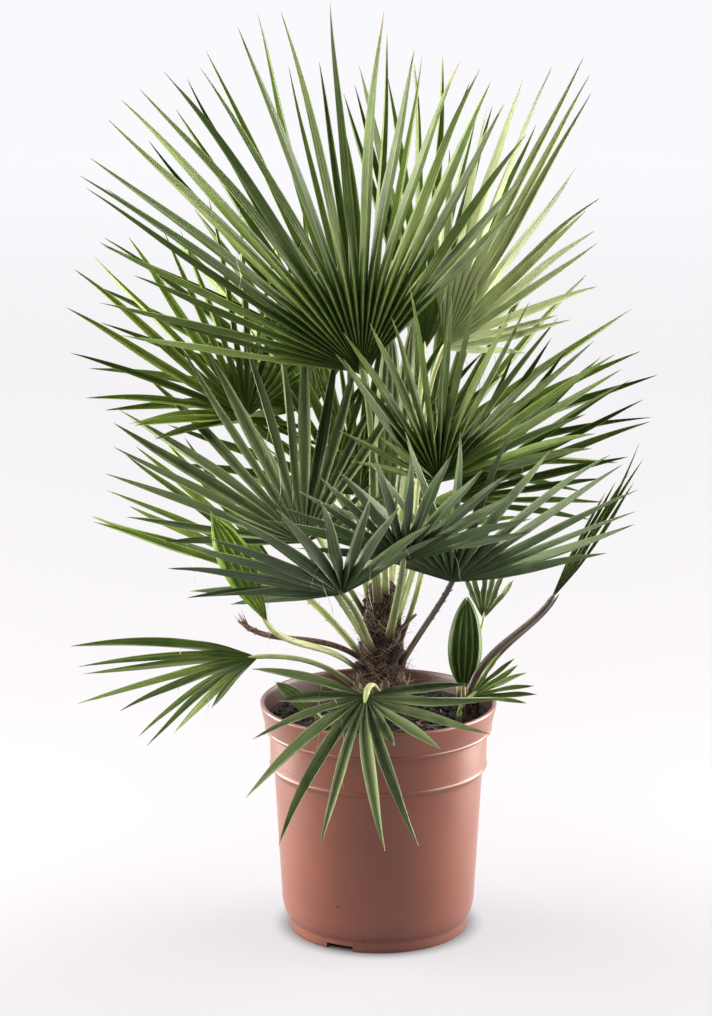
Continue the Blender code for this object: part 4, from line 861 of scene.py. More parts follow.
placed, worst = {}, 0.0
for frond in FRONDS:
    corners, tree = corners_of(frond.name)
    hub = find_hub(frond, tree)
    normal, way_out = fan_axes(frond)[0], blade_way(frond, frond.blades / 2)
    stalk = find_stalk(frond.name, frond.root, hub, way_out, unit(np.cross(normal, way_out)),
                       "sucker" in frond.name, tree)
    blades, off = find_blades(frond, hub, corners)
    placed[frond.name] = hub, stalk, blades
    worst = max(worst, off)
print("blades read from the solids, largest misfit", round(worst, 6))

# %% [markdown]
# ## Fan leaves
# A fan palm's leaf is one pleated sheet that is slit between its ribs for most of its length.
# Near the hub the blades are still joined, so the sheet zigzags there. Farther out each blade is
# a stiff strap, folded upwards along its rib like a gutter, widest at a third of its free length,
# and notched at the tip. Modelling it by hand would mean 270 blades. Here all of a fan's blades
# are one array: the two parameters are the place along the blade and the place across it.

# %% Blade surface
ALONG_WEB, ALONG_FREE, ACROSS, BLADE_THICK = 9, 32, 9, 0.00045


def fan_rows(frond, reach):
    """Distances from the hub, for every blade: even in the web, then closer to the tip."""
    web = np.linspace(0.035, 1.0, ALONG_WEB)[None] * frond.split
    t = np.linspace(0, 1, ALONG_FREE + 1)[None, 1:]
    free = frond.split + (reach[:, None] - frond.split) * (1 - (1 - t) ** 1.25)
    return np.concatenate((np.broadcast_to(web, (len(reach), ALONG_WEB)), free), axis=1)


# Shares of the CAD's blade width and web length, and the fans with some narrow blades
WIDTH_SHARES = {"frond_crown_front": 1.12, "frond_mid_left": 1.05, "frond_left": .82,
                "frond_over_rim": .88, "frond_low_left": .80, "frond_centre_front": .78,
                "frond_front_low": .74, "sucker_fan_pale": .9, "sucker_fan_low": .9,
                "sucker_fan_tall": .50}
SLITS = {"frond_crown_front": 0.82, "sucker_fan_tall": 0.42}
THIN_BLADES = {"frond_crown_front": range(18, 25), "frond_left": range(0, 9)}
USUAL_WIDTH, USUAL_SLIT, THIN = 0.84, 0.75, 0.78


def blade_width(frond, r, s):
    """Joined in the web, then a share of the room between two blades, up to the strap's width,
    which falls as 1 - 0.97 ((s - 0.2) / 0.8)^1.9 towards the tip. A soft minimum joins them.
    Real blades are narrower than the CAD's, by a share that was measured for each fan."""
    room = r * math.radians(frond.spread / frond.blades)
    open_share = 1 - 0.20 * ramp(s, 0.0, 0.25)
    strap = frond.width * WIDTH_SHARES.get(frond.name, USUAL_WIDTH)
    strap = strap * (1 - 0.97 * (np.maximum(0, s - 0.2) / 0.8) ** 1.9)
    soft = (room * open_share) ** -6.0 + strap ** -6.0
    return np.where(s > 0, room + (soft ** (-1 / 6.0) - room) * ramp(s, 0.0, 0.2), room)


def slit_deeper(frond, blades, share):
    """The real web is shorter than the CAD's. The free part f grows to g, so that swing and
    lift become f/g of what they were, and the tips stay where they are."""
    split = frond.split * share
    scale = [(blade.reach - frond.split) / (blade.reach - split) for blade in blades]
    return frond._replace(split=split), [Blade(blade.reach, blade.swing * k, blade.lift * k)
                                         for blade, k in zip(blades, scale)]


def fan_blades(frond, hub, blades, draw):
    """Points of all blades, (blades, rows, across, 3), and the unit vectors over them.

    With r the distance, s the share of the free length f and v from 0 to 1 across:
    middle = hub + w r + f (swing across + lift normal) s^1.4 - Z f droop s^2, and the surface
    is middle + side (2v-1) width/2 + over fold (2|2v-1|^1.15 - 1). In the web it is
    hub + w(v) r."""
    normal = fan_axes(frond)[0]
    count = len(blades)
    number = np.arange(count)
    reach, swing, lift = (np.array(values) for values in zip(*blades))
    rows = fan_rows(frond, reach)
    v = np.linspace(0, 1, ACROSS)
    way = blade_way(frond, number + 0.5)
    across = unit(np.cross(normal, way))
    free = (reach - frond.split)[:, None]
    s = np.maximum(0, (rows - frond.split) / free)
    aside = (across * swing[:, None] + normal * lift[:, None])[:, None]
    # Each blade waves a little, and its last fifth curls
    phase, wave = draw.uniform(0, 6.28, (2, count, 1)), draw.uniform(0.002, 0.008, (2, count, 1))
    curl = draw.normal(0, 0.05, (2, count, 1)) * np.maximum(0, s - 0.7) ** 2 * free
    sway = free * s * wave[0] * np.sin(7 * s + phase[0]) + curl[0]
    heave = free * s * wave[1] * np.sin(6 * s + phase[1]) + curl[1]
    s3 = s[..., None]
    middle = hub + way[:, None] * rows[..., None] + free[..., None] * (
        aside * s3 ** 1.4 - Z_UP * frond.droop * s3 ** 2)
    middle = middle + across[:, None] * sway[..., None] + normal * heave[..., None]
    tangent = unit(way[:, None] + aside * 1.4 * s3 ** 0.4 - Z_UP * 2 * frond.droop * s3)
    blend = ramp(s3, 0.0, 0.3)
    side = unit(across[:, None] - tangent * dot(across[:, None], tangent) * blend)
    over = unit(normal - tangent * dot(normal, tangent) * blend) * frond.upper
    # Outside the web each blade turns about its own rib, and its fold opens a little
    roll = draw.normal(0.22, 0.42, (count, 1, 1)) * ramp(s3, 0.0, 0.4)
    roll = roll + draw.normal(0, 0.35, (count, 1, 1)) * s3 ** 2
    side, over = (side * np.cos(roll) + over * np.sin(roll),
                  over * np.cos(roll) - side * np.sin(roll))
    breadth = np.clip(draw.normal(1.0, 0.12, (count, 1)), 0.72, 1.18)
    breadth[[n for n in THIN_BLADES.get(frond.name, ()) if n < count]] *= THIN
    width = blade_width(frond, rows, s) * (1 + (breadth - 1) * ramp(s, 0.0, 0.2))
    flat = 0.85 + draw.normal(0, 0.10, (count, 1)) * s - 0.15 * ramp(s, 0.0, 0.5)
    fold = flat * width / 2
    x, bend = 2 * v - 1, 2 * np.abs(2 * v - 1) ** 1.15 - 1
    # The notch: the tip's middle lags behind its two points, up to 8 mm
    notch = np.minimum(0.008, 0.3 * free) * ramp(s, 0.86, 1.0)
    lag = notch[..., None] * (1 - np.abs(x)) ** 1.5
    points = middle[:, :, None] + side[:, :, None] * (x * width[..., None] / 2)[..., None]
    points = points + over[:, :, None] * (bend * fold[..., None])[..., None]
    points = points - tangent[:, :, None] * lag[..., None]
    # In the web the edges lie on the directions that neighbouring blades share
    edge_way = blade_way(frond, number[:, None] + v)[:, None]
    arc = frond.split * (edge_way - way[:, None, None]) - across[:, None, None] * (
        x * width[:, ALONG_WEB - 1, None, None] / 2)[..., None]
    share = np.minimum(1, rows / frond.split)
    points = points + arc * (share * (1 - ramp(s, 0.0, 0.3)))[..., None, None]
    return points, np.broadcast_to(over[:, :, None], points.shape), rows / reach[:, None], s


def blade_rings(points, over, s, thick):
    """Closed rings from a surface: the upper side, then the lower side back. The rib under the
    fold is thicker by (1 + 1.8 exp(-((v-0.5)/0.06)^2)), and the tip thins out."""
    v = np.linspace(0, 1, points.shape[-2])
    rib = 1 + 1.8 * np.exp(-((v - 0.5) / 0.06) ** 2) * (1 - 0.8 * s[..., None])
    down = over * (thick * rib * (1 - 0.5 * s[..., None] ** 4))[..., None]
    upper = points + over * thick / 2
    return np.concatenate((upper, (points + over * thick / 2 - down)[..., ::-1, :]), axis=-2)


def leaf_uv(along, across_count):
    """u runs from the hub to the tip and v across. Both sides of the leaf have the same v."""
    v = np.linspace(0, 1, across_count)
    return along[..., None], np.concatenate((v, v[::-1]))


# %% [markdown]
# The stalk of a leaf is flat above, rounded below and armed with hooked spines along both edges.
# A curve with a bevel could be the stalk, but it would keep one width. So a flat section is
# carried along the curve that was found above, and it narrows and thins on its way to the fan.

# %% Stalks and spines
def stalk_rings(stalk, count=46, around=12, tongue=0.012):
    """A rounded flat section carried along the stalk's curve: its angle a gives
    across half cos(a) + over thick (0.4 or 0.6) sin(a), with a shallow channel on top."""
    share = np.concatenate(((0.0,), np.linspace(0, 1, count), (1.0, 1.0, 1.0)))
    point, _, across, over = stalk_line(stalk, share)
    point[0] += stalk.sunk
    half, thick = stalk_half(stalk, share)
    # The last three rings run into the blade as a small pointed tongue
    point[-3:] += stalk.arrive * np.array((0.3, 0.65, 1.0))[:, None] * tongue
    half[-3:] *= (0.85, 0.6, 0.15)
    thick[-3:] *= (0.85, 0.55, 0.2)
    half = half * 0.84
    a = 2 * np.pi * (np.arange(around) + 0.5) / around
    out = np.sign(np.cos(a)) * np.abs(np.cos(a)) ** 0.8
    up = np.where(np.sin(a) > 0, 0.40, 0.60) * np.sin(a)
    up = up - 0.16 * np.exp(-(np.cos(a) / 0.45) ** 2) * (np.sin(a) > 0)
    rings = point[:, None] + across[:, None] * (half[:, None] * out)[..., None]
    rings = rings + over[:, None] * (thick[:, None] * up)[..., None]
    return rings, share[:, None], np.broadcast_to(a / (2 * np.pi), rings.shape[:2])


def spine_rings(stalk, draw, pairs=11):
    """Spines in pairs along both edges: cones that hook towards the fan. The line of a spine
    of length l is edge + out l (q - 0.25 q^2) + tangent l 0.75 q^1.8."""
    share = np.repeat(np.linspace(0.10, 0.90, pairs), 2) + draw.uniform(-0.025, 0.025, 2 * pairs)
    point, tangent, across, over = stalk_line(stalk, share)
    half = stalk_half(stalk, share)[0]
    sign = np.tile((-1.0, 1.0), pairs)[:, None]
    size = (0.0012 + 0.0024 * draw.random(2 * pairs) ** 1.5)[:, None, None]
    q = np.linspace(0, 1, 5)[None, :, None]
    line = (point + across * sign * (half * 0.72)[:, None])[:, None]
    line = line + (across * sign)[:, None] * size * (q - 0.25 * q * q)
    line = line + tangent[:, None] * size * 0.75 * q ** 1.8
    a = np.arange(6) * np.pi / 3
    radius = size * (0.34 * (1 - q) + 0.03)
    ring = (tangent[:, None, None] * np.cos(a)[:, None] * 1.25
            + over[:, None, None] * np.sin(a)[:, None])
    return line[:, :, None] + ring * radius[..., None], share[:, None, None]


# %% Leaf stalk finish
def stalk_finish(name, base, light, dark):
    """Living leaf stalk: a smooth waxy skin, pale green with a darker channel, fine streaks
    along it, and brown with fibres where it leaves the trunk."""
    material, tree, shader = start_material(name, 0.38, IOR=1.45)
    uv = add(tree, "UVMap", uv_map="surface")
    u, v = (add(tree, "SeparateXYZ", {0: uv}, out=k) for k in (0, 1))
    streaks = add(tree, "TexNoise", {"Vector": add(tree, "CombineXYZ", {
        0: add(tree, "Math", {0: u, 1: 6.0}, operation="MULTIPLY"),
        1: add(tree, "Math", {0: v, 1: 30.0}, operation="MULTIPLY")}),
        "Scale": 1.0, "Detail": 3.0})
    colour = add(tree, "Mix", {0: add(tree, "MapRange", {0: streaks, 1: 0.3, 2: 0.7}, **RISE),
                               6: paint(base), 7: paint(light)}, **COLOUR)
    channel = add(tree, "Math", {0: add(tree, "Math", {0: v, 1: -0.25})}, operation="ABSOLUTE")
    foot = add(tree, "Math", {0: streaks, 1: 0.12, 2: u}, operation="MULTIPLY_ADD")
    finish_material(tree, shader, colour, (
        (add(tree, "MapRange", {0: channel, 1: 0.10, 2: 0.03, 4: 0.45}, **RISE), dark),
        (add(tree, "MapRange", {0: foot, 1: 0.22, 2: 0.07, 4: 0.9}, **RISE), "3a261e")),
        streaks, 0.0002)
    return material


stalk_finishes = {
    "leaf_green": stalk_finish("waxy_stalk_green", "7d8b52", "b0b985", "4c5a2c"),
    "leaf_blue_green": stalk_finish("waxy_stalk_olive", "6f7b50", "a3ab80", "46502f"),
    "leaf_pale": stalk_finish("waxy_stalk_pale", "9aa56b", "cdd3a4", "6f7d46"),
    "purple": stalk_finish("waxy_stalk_purple", "3c2c34", "6a6350", "241a20"),
}
PURPLE_STALKS = ("frond_right_low", "sucker_fan_tall")
print("stalk finishes:", ", ".join(stalk_finishes))

# %% [markdown]
# Between the big fans there are thin blades of leaves that never opened well, and pale dry
# threads hang from the edges of blades. Both could be left out at this size, but they are what
# makes the middle of the plant look grown. They come from the same surface and strand functions.

# %% Dry leaf thread
def dry_thread():
    """Dry leaf thread: thin, matt and nearly white, with brownish stretches."""
    material, tree, shader = start_material("dry_palm_leaf_thread", 0.7)
    streaks = add(tree, "TexNoise", {"Vector": add(tree, "TexCoord", out="Object"), "Scale": 120,
                                     "Detail": 2})
    finish_material(tree, shader, add(tree, "Mix", {
        0: add(tree, "MapRange", {0: streaks, 1: 0.4, 2: 0.7}, **RISE),
        6: paint("d9d6c6"), 7: paint("a39a82")}, **COLOUR), (), streaks, 0.0002)
    return material


thread = dry_thread()
THREADS, THREAD_RADIUS = 3, 0.00035

# %% Loose blades and threads
LOOSE_BLADES = (  # a fan, then the middle, spread and lengths of thin blades beside it
    ("frond_left", -24, 44, (0.110, 0.128, 0.096)),
    ("frond_mid_left", 34, 26, (0.118, 0.098)),
    ("frond_right", 150, 34, (0.090, 0.130, 0.105)),
    ("frond_centre_front", 164, 22, (0.118, 0.100)),
    ("frond_back_centre", 20, 60, (0.120, 0.150, 0.130, 0.110)),
    ("frond_back_centre", 98, 34, (0.175, 0.190, 0.180, 0.160)),
    ("frond_crown_mid", 262, 60, (0.120, 0.150, 0.135, 0.110)),
)


def loose_blades(frond, hub, middle, spread, lengths, bundle, draw):
    """A narrow fan of its own, with a short web and blades about two thirds as wide."""
    beside = frond._replace(middle=middle, spread=spread, blades=len(lengths), split=0.018,
                            width=0.0085, cup=4)
    blades = [Blade(length, draw.uniform(-0.1, 0.1), draw.uniform(-0.05, 0.15))
              for length in lengths]
    points, over, along, s = fan_blades(beside, hub, blades, draw)
    u, v = leaf_uv(along, ACROSS)
    bundle.add(blade_rings(points, over, s, BLADE_THICK), (u, v), 0.5, 0.05)


def thread_lines(points, count, draw, rings=14):
    """Threads that hang from the blades' edges: with q along, the line is start + aside q
    - Z length q + a slow wave of 1.5 mm."""
    blade = draw.integers(0, len(points), count)
    row = draw.integers(ALONG_WEB - 1, ALONG_WEB + 14, count)
    start = points[blade, row, draw.choice((0, points.shape[2] - 1), count)]
    q = np.linspace(0, 1, rings)[None, :, None]
    length = draw.uniform(0.025, 0.085, (count, 1, 1))
    phase = draw.uniform(0, 6.28, (count, 1, 3))
    wave = 0.0015 * (np.sin(9 * q + phase) - np.sin(phase)) * (1, 1, 0.2)
    aside = draw.normal(0, 0.012, (count, 1, 3)) * (1, 1, 0)
    return start[:, None] - Z_UP * length * q + aside * q + wave


# %% One piece for each frond
# Fans whose finish isn't their slot's, and fans whose blades are lighter than usual. The fans
# frond_left and frond_left_back get a lighter copy of the green finish: painted light, since they
# lie in the shade of others
LIT_LEAVES = {"frond_left": "fresh", "frond_left_back": "fresh", "frond_mid_left": "grey",
              "frond_over_rim": "grey"}
TINTS = {"frond_over_rim": 0.70, "frond_left": 0.65, "frond_mid_left": 0.70,
         "frond_low_left": 0.55, "frond_right_low": 0.60, "frond_right_high": 0.60}
USUAL_TINT = 0.45
# The tall sucker has a thick stalk, and a second, thinner one that grows close beside it
TALL_STALK = {"foot": (0.0125, 0.0095), "neck": (0.0080, 0.0060)}
THIN_STALK = {"foot": (0.0052, 0.0045), "neck": (0.0036, 0.0032)}


def make_frond(frond):
    """The blades, the stalk with its spines, threads and loose blades, as one mesh."""
    hub, stalk, blades = placed[frond.name]
    frond, blades = slit_deeper(frond, blades, SLITS.get(frond.name, USUAL_SLIT))
    draw = np.random.default_rng(sum(map(ord, frond.name)))
    points, over, along, s = fan_blades(frond, hub, blades, draw)
    bundle = Bundle()
    u, v = leaf_uv(along, ACROSS)
    count = len(blades)
    tint = TINTS.get(frond.name, USUAL_TINT)
    tint = np.clip(draw.normal(tint, 0.28, (count, 1, 1)), 0, 1)
    dry = np.clip(draw.exponential(0.018, (count, 1, 1)), 0.004, 0.12)
    bundle.add(blade_rings(points, over, s, BLADE_THICK), (u, v), tint, dry)
    if frond.name == "sucker_fan_tall":
        stalk = stalk._replace(**TALL_STALK)
    stalk_form, share_of_stalk, around = stalk_rings(stalk)
    bundle.add(stalk_form, (share_of_stalk, around), slot=1)
    if "sucker" not in frond.name:
        spines, share = spine_rings(stalk, draw)
        bundle.add(spines, (share, 0.55), slot=1)
        threads = thread_lines(points, THREADS, draw)
        bundle.add(strand_rings(threads, np.full(THREADS, THREAD_RADIUS)), (0.5, 0.5), slot=2)
    for name, middle, spread, lengths in LOOSE_BLADES:
        if name == frond.name:
            loose_blades(frond, hub, middle, spread, lengths, bundle, draw)
    if frond.name == "sucker_fan_tall":
        beside = stalk._replace(start=stalk.start + (0.0095, 0.004, 0),
                                hub=stalk.hub + (0.004, 0.003, -0.002), **THIN_STALK)
        bundle.add(stalk_rings(beside)[0], (share_of_stalk, around), slot=1)
    skin = stalk_finishes["purple" if frond.name in PURPLE_STALKS else frond.slot]
    blade = blade_finishes[LIT_LEAVES.get(frond.name, frond.slot)]
    piece = bundle.make(frond.name + "_leaf", [blade, skin, thread])
    stand_for(piece, frond.slot, frond.name)


for frond in FRONDS:
    make_frond(frond)

# %% [markdown]
# ## Young leaves
# A young leaf comes out still folded like a closed paper fan: parallel pleats that run together
# at both ends. The two parameters are again the place along the leaf and across it, and the
# pleats are a triangle wave of the place across. Light stripes mark the ribs.

# %% Young leaf surface
POINTED = ("young_leaf_left",)  # its two ends are sharper than the others'
Young = namedtuple("Young", "name base tip face width pleats fold in_soil root slot")
YOUNG_LEAVES = (
    Young("spear_front", (0.006, -0.018, 0.450), (0.012, -0.022, 0.690), (-85, 0), 0.030, 4,
          0.006, False, (-80, 0.380), "leaf_pale"),
    Young("spear_back", (0.016, 0.012, 0.460), (0.038, 0.016, 0.690), (-100, 0), 0.020, 3,
          0.006, False, (60, 0.382), "leaf_pale"),
    Young("young_leaf_left", (-0.117, -0.085, 0.364), (-0.180, -0.115, 0.502), (-75, 10),
          0.038, 5, 0.006, False, (-170, 0.290), "leaf_bright"),
    Young("young_leaf_rim", (0.094, 0.030, 0.262), (0.097, 0.030, 0.368), (-90, 10), 0.038,
          5, 0.006, True, (0.094, 0.032), "leaf_bright"),
    Young("sucker_leaf_left", (-0.067, -0.052, 0.256), (-0.112, -0.062, 0.296), (-70, 40),
          0.020, 4, 0.005, True, (-0.060, -0.050), "leaf_green"),
)


def young_axes(leaf):
    """From the base to the tip, and the unit vectors across the leaf and over it."""
    reach = np.array(leaf.tip) - np.array(leaf.base)
    side = unit(np.cross(compass(*leaf.face), unit(reach)))
    return reach, side, np.cross(unit(reach), side)


def find_base(leaf, tree):
    """The base is the place on the leaf's normal whose tip is a corner of the solid."""
    normal, tip = compass(*leaf.face), np.array(leaf.tip)
    return min((np.array(leaf.base) + normal * shift for shift in SHIFTS),
               key=lambda base: tree.find(base - leaf.base + tip)[2])


def young_surface(leaf, base, draw, rows=56, per_pleat=8):
    """With t along and v across, x = 2v - 1: base + reach t + over 0.05 length sin(pi t)
    + side half(t) x + over rise, where half = width/2 sin(pi t^0.85)^0.7 and rise is 0.35 fold
    times a triangle wave with one period for each pleat. The pleats' tips end one by one, and
    each side of a pleat has one period of the finish, so its folds and ribs are pale. The
    leaf at the left is more pointed: there half = width/2 sin(pi t^1.1)^1.15."""
    reach, side, over = young_axes(leaf)
    v = np.linspace(0, 1, leaf.pleats * per_pleat + 1)
    t = np.linspace(0.004, 0.996, rows)[:, None]
    swell = (np.sin(np.pi * t ** 1.1) ** 1.15 if leaf.name in POINTED
             else np.sin(np.pi * t ** 0.85) ** 0.7)
    wave = 1 - 2 * np.abs(2 * ((v * leaf.pleats) % 1) - 1)
    ends = 0.05 * draw.random(leaf.pleats + 1)[np.round(v * leaf.pleats).astype(int)]
    ends = ends + 0.03 * (1 + wave) / 2
    t_own = t - ends * ramp(t, 0.75, 1.0)
    centre = np.array(base) + reach * t_own[..., None]
    centre = centre + over * np.linalg.norm(reach) * 0.05 * np.sin(np.pi * t_own)[..., None]
    centre = centre + side * (0.5 * leaf.width * swell * (2 * v - 1))[..., None]
    points = centre + over * (0.35 * leaf.fold * swell * wave)[..., None]
    return points, np.broadcast_to(over, points.shape), t, 2 * v * leaf.pleats


def make_young(leaf):
    """The pleated leaf and its stalk, as one mesh."""
    draw = np.random.default_rng(sum(map(ord, leaf.name)))
    _, tree = corners_of(leaf.name)
    base, way = find_base(leaf, tree), unit(young_axes(leaf)[0])
    stalk = find_stalk(leaf.name, leaf.root, base, way, unit(np.cross(compass(*leaf.face), way)),
                       leaf.in_soil, tree)
    points, over, t, v = young_surface(leaf, base, draw)
    half = over * 0.00025
    bundle = Bundle()
    # u starts at 0.14, so that only the foot of this leaf gets the painted shade of a fan's hub
    # and web
    bundle.add(np.concatenate((points + half, (points - half)[:, ::-1]), axis=1),
               (t * 0.85 + 0.14, np.concatenate((v, v[::-1]))), 0.45, 0.02)
    rings, share, around = stalk_rings(stalk)
    bundle.add(rings, (share, around), slot=1)
    if not leaf.in_soil:
        spines, share = spine_rings(stalk, draw, 8)
        bundle.add(spines, (share, 0.55), slot=1)
    skin = stalk_finishes.get(leaf.slot, stalk_finishes["leaf_pale"])
    blade = blade_finishes["young" if leaf.name == "young_leaf_rim" else leaf.slot]
    piece = bundle.make(leaf.name + "_leaf", [blade, skin])
    stand_for(piece, leaf.slot, leaf.name)


for leaf in YOUNG_LEAVES:
    make_young(leaf)

# %% [markdown]
# ## The trunk
# The trunk of a young fan palm is hidden under what old leaves leave behind: short stubs of
# stalks and a mat of brown hairs. The core is a grid of angle and height over the CAD's radius,
# with ridges that run up it. The hairs are separate thin lofts, because only real hairs make
# a ragged outline.

# %% Trunk core
def trunk_rings():
    """Rings at each height: the trunk's radius plus ridges that wander round it, up to 1 mm
    high. Three smaller rings round off the top."""
    height = np.concatenate((np.linspace(0.190, 0.240, 6),
                             np.linspace(TRUNK_COLLAR, TRUNK_TOP, 120)))[:, None]
    azimuth = np.arange(140)[None] * 360 / 140
    radius = trunk_radius(azimuth, height)
    wander = azimuth + 14 * np.sin(height * 90 + azimuth / 40)
    ridges = (np.sin(np.radians(wander * 31))
              + 0.6 * np.sin(np.radians(wander * 53) + height * 300))
    radius = radius + 0.0006 * ridges * ramp(height, 0.236, 0.25)
    a = np.radians(azimuth)
    rings = np.stack((TRUNK_X + radius * np.cos(a), radius * np.sin(a), height + 0 * a), axis=-1)
    middle = np.array((TRUNK_X, 0, TRUNK_TOP))
    top = [middle + (rings[-1] - middle) * (scale, scale, 1) + Z_UP * rise
           for scale, rise in ((0.8, 0.004), (0.45, 0.008), (0.08, 0.010))]
    return np.concatenate((rings, np.array(top))), azimuth


# %% Stubs of old stalks
# Half a stub's width and thickness, their share at its end, and how deep it sits in the trunk
STUB_HALF, STUB_THICK, STUB_END, STUB_SUNK = 0.0055, 0.0024, 0.72, 0.008


def stub_line(number, turn):
    """Foot, direction, side and length of a stub, as in the CAD."""
    draw = Random(number)
    azimuth, height = GOLDEN_ANGLE * number + turn, 0.250 + 0.100 * number / 9
    out, side = compass(azimuth, draw.uniform(42, 56)), compass(azimuth + 90)
    return trunk_surface(azimuth, height), out, side, draw.uniform(0.014, 0.026)


def find_stubs(tree):
    """Numbers and turns whose four end corners are corners of the trunk's solid."""
    found = []
    for number in range(9):
        for turn in TURNS[:7]:
            foot, out, side, length = stub_line(number, turn)
            end, side = foot + out * length, side * STUB_HALF * STUB_END
            over = unit(np.cross(out, side)) * STUB_THICK * STUB_END
            ring = [end - side, end + side, end - over, end + over]
            if misfit(tree, ring) < 2e-5:
                found.append((number, turn))
                break
    return found


def stub_rings(number, turn, draw, count=12, around=14):
    """A tapered flat section that fades into splinters: the end's points are pushed along."""
    foot, out, side, length = stub_line(number, turn)
    over = np.cross(out, side)
    q = np.linspace(0, 1, count)[:, None]
    a = 2 * np.pi * np.arange(around)[None] / around
    scale = (1 - (1 - STUB_END) * q) * (1 - 0.25 * ramp(q, 0.85, 1.0))
    splinters = ramp(q, 0.7, 1.0) * draw.uniform(-.004, .001, (1, around))
    along = (length + STUB_SUNK) * q - STUB_SUNK + splinters
    return (foot + out * along[..., None] + side * (STUB_HALF * scale * np.cos(a))[..., None]
            + over * (STUB_THICK * scale * np.sin(a))[..., None])


# %% Hairs of the trunk
def hair_lines(start, step, bend, length, rings=7):
    """A hair's line is start + length (step q + bend q^2)."""
    q = np.linspace(0, 1, rings)[None, :, None]
    return start[:, None] + length[:, None, None] * (step[:, None] * q + bend[:, None] * q * q)


def trunk_hairs(bundle, count, draw):
    """Hairs start on the trunk, mostly low down, climb round it and end a little off it. Those
    at the lower left, where a sheath has worn through, are tan and the others are dark."""
    azimuth = draw.uniform(-180, 180, count)
    height = 0.242 + 0.125 * draw.random(count) ** 1.6
    out = compass(azimuth)
    start = np.array((TRUNK_X, 0, 0)) + out * (trunk_radius(azimuth, height) - 0.0008)[:, None]
    start[:, 2] = height
    round_way = np.stack((-out[:, 1], out[:, 0], 0 * azimuth), axis=-1)
    step = unit(Z_UP * draw.uniform(0.1, 1.2, (count, 1))
                + round_way * draw.normal(0, 0.7, (count, 1))
                + out * draw.uniform(-0.05, 0.35, (count, 1)))
    bend = (-Z_UP * draw.uniform(0, 0.45, (count, 1))
            + round_way * draw.normal(0, 0.3, (count, 1)))
    bend = bend + out * draw.uniform(-0.20, 0.10, (count, 1))
    length, radius = draw.uniform(0.008, 0.030, count), draw.uniform(0.00012, 0.00030, count)
    patch = np.exp(-((azimuth + 150) / 45) ** 2) * (height < 0.290)
    tint = np.clip(draw.uniform(0, 1, count) ** 2 * 0.9 + 0.7 * patch, 0, 1)
    bundle.add(strand_rings(hair_lines(start, step, bend, length), radius), (0.5, 0.5),
               tint[:, None, None])


def sheath_fibres(bundle, count, draw, rings=9):
    """Old leaf bases leave a net of fibres that lie round the trunk and cross: from end to end
    the azimuth changes by 25 to 80 degrees to either side, and the height by 4 to 34 mm."""
    q = np.linspace(0, 1, rings)
    azimuth = draw.uniform(-180, 180, (count, 1)) + draw.choice((-1, 1), (count, 1)) * (
        draw.uniform(25, 80, (count, 1)) * q)
    height = 0.246 + 0.115 * draw.random((count, 1)) ** 1.2
    height = np.minimum(height + draw.uniform(0.004, 0.034, (count, 1)) * q, 0.383)
    off = 0.0004 + draw.uniform(0, 0.0022, (count, 1)) * np.sin(np.pi * q)
    line = compass(azimuth) * (trunk_radius(azimuth, height) + off)[..., None]
    line = line + np.array((TRUNK_X, 0, 0))
    line[..., 2] = height
    tint = draw.random(count) ** 1.3
    bundle.add(strand_rings(line, draw.uniform(0.00018, 0.00045, count)), (0.5, 0.5),
               tint[:, None, None])


def fallen_fibres(bundle, count, draw, rings=8):
    """Fibres lie on the bed round the trunk, 40 to 85 mm from its middle: each is a slow curve
    one or two millimetres over the ground."""
    q = np.linspace(-0.5, 0.5, rings)
    turn, way = draw.uniform(0, 360, (2, count, 1))
    middle = compass(turn[:, 0]) * draw.uniform(0.040, 0.085, (count, 1))
    length = draw.uniform(0.012, 0.045, (count, 1))
    line = middle[:, None] + compass(way + 60 * q * draw.uniform(-1, 1, (count, 1))) * (
        length * q)[..., None]
    line[..., 2] = ground(line[..., 0], line[..., 1]) + 0.0012 + 0.0012 * draw.random((count, 1))
    bundle.add(strand_rings(line, draw.uniform(0.0002, 0.0005, count)), (0.5, 0.5),
               draw.uniform(0.5, 1.0, (count, 1, 1)))


def trunk_fibre():
    """Dry palm fibre: matt, dark violet-brown in the shade of the mat, tan where it frays."""
    material, tree, shader = start_material("dry_palm_fibre", 0.85)
    tint = add(tree, "Attribute", out="Fac", attribute_name="tint")
    place = add(tree, "Mapping", {0: add(tree, "TexCoord", out="Object"), 3: (1.0, 1.0, 0.18)})
    strands = add(tree, "TexNoise", {"Vector": place, "Scale": 900, "Detail": 4,
                                     "Roughness": 0.7})
    colour = add(tree, "Mix", {0: add(tree, "MapRange", {0: strands, 1: 0.35, 2: 0.68}, **RISE),
                               6: paint("120b0c"), 7: paint("4a3430")}, **COLOUR)
    finish_material(tree, shader, colour, (
        (add(tree, "MapRange", {0: tint, 1: 0.30, 2: 1.0}, **RISE), "a8937a"),), strands, 0.0012)
    return material


HAIRS, SHEATH_FIBRES, FALLEN_FIBRES = 1700, 900, 90
palm_fibre = trunk_fibre()
draw = np.random.default_rng(11)
_, trunk_tree = corners_of("trunk")
stubs = find_stubs(trunk_tree)
core = Bundle()
rings, azimuth = trunk_rings()
core.add(rings, (0.5, 0.5), 0.15)
for number, turn in stubs:
    core.add(stub_rings(number, turn, draw), (0.5, 0.5), float(draw.uniform(0.1, 0.6)))
trunk = core.make("trunk_core", [palm_fibre], 60)
stand_for(trunk, "fibrous_trunk", "trunk")
mat = Bundle()
trunk_hairs(mat, HAIRS, draw)
sheath_fibres(mat, SHEATH_FIBRES, draw)
fallen_fibres(mat, FALLEN_FIBRES, draw)
stand_for(mat.make("trunk_hairs", [palm_fibre]), "fibrous_trunk")
print(len(stubs), "stubs of old stalks")

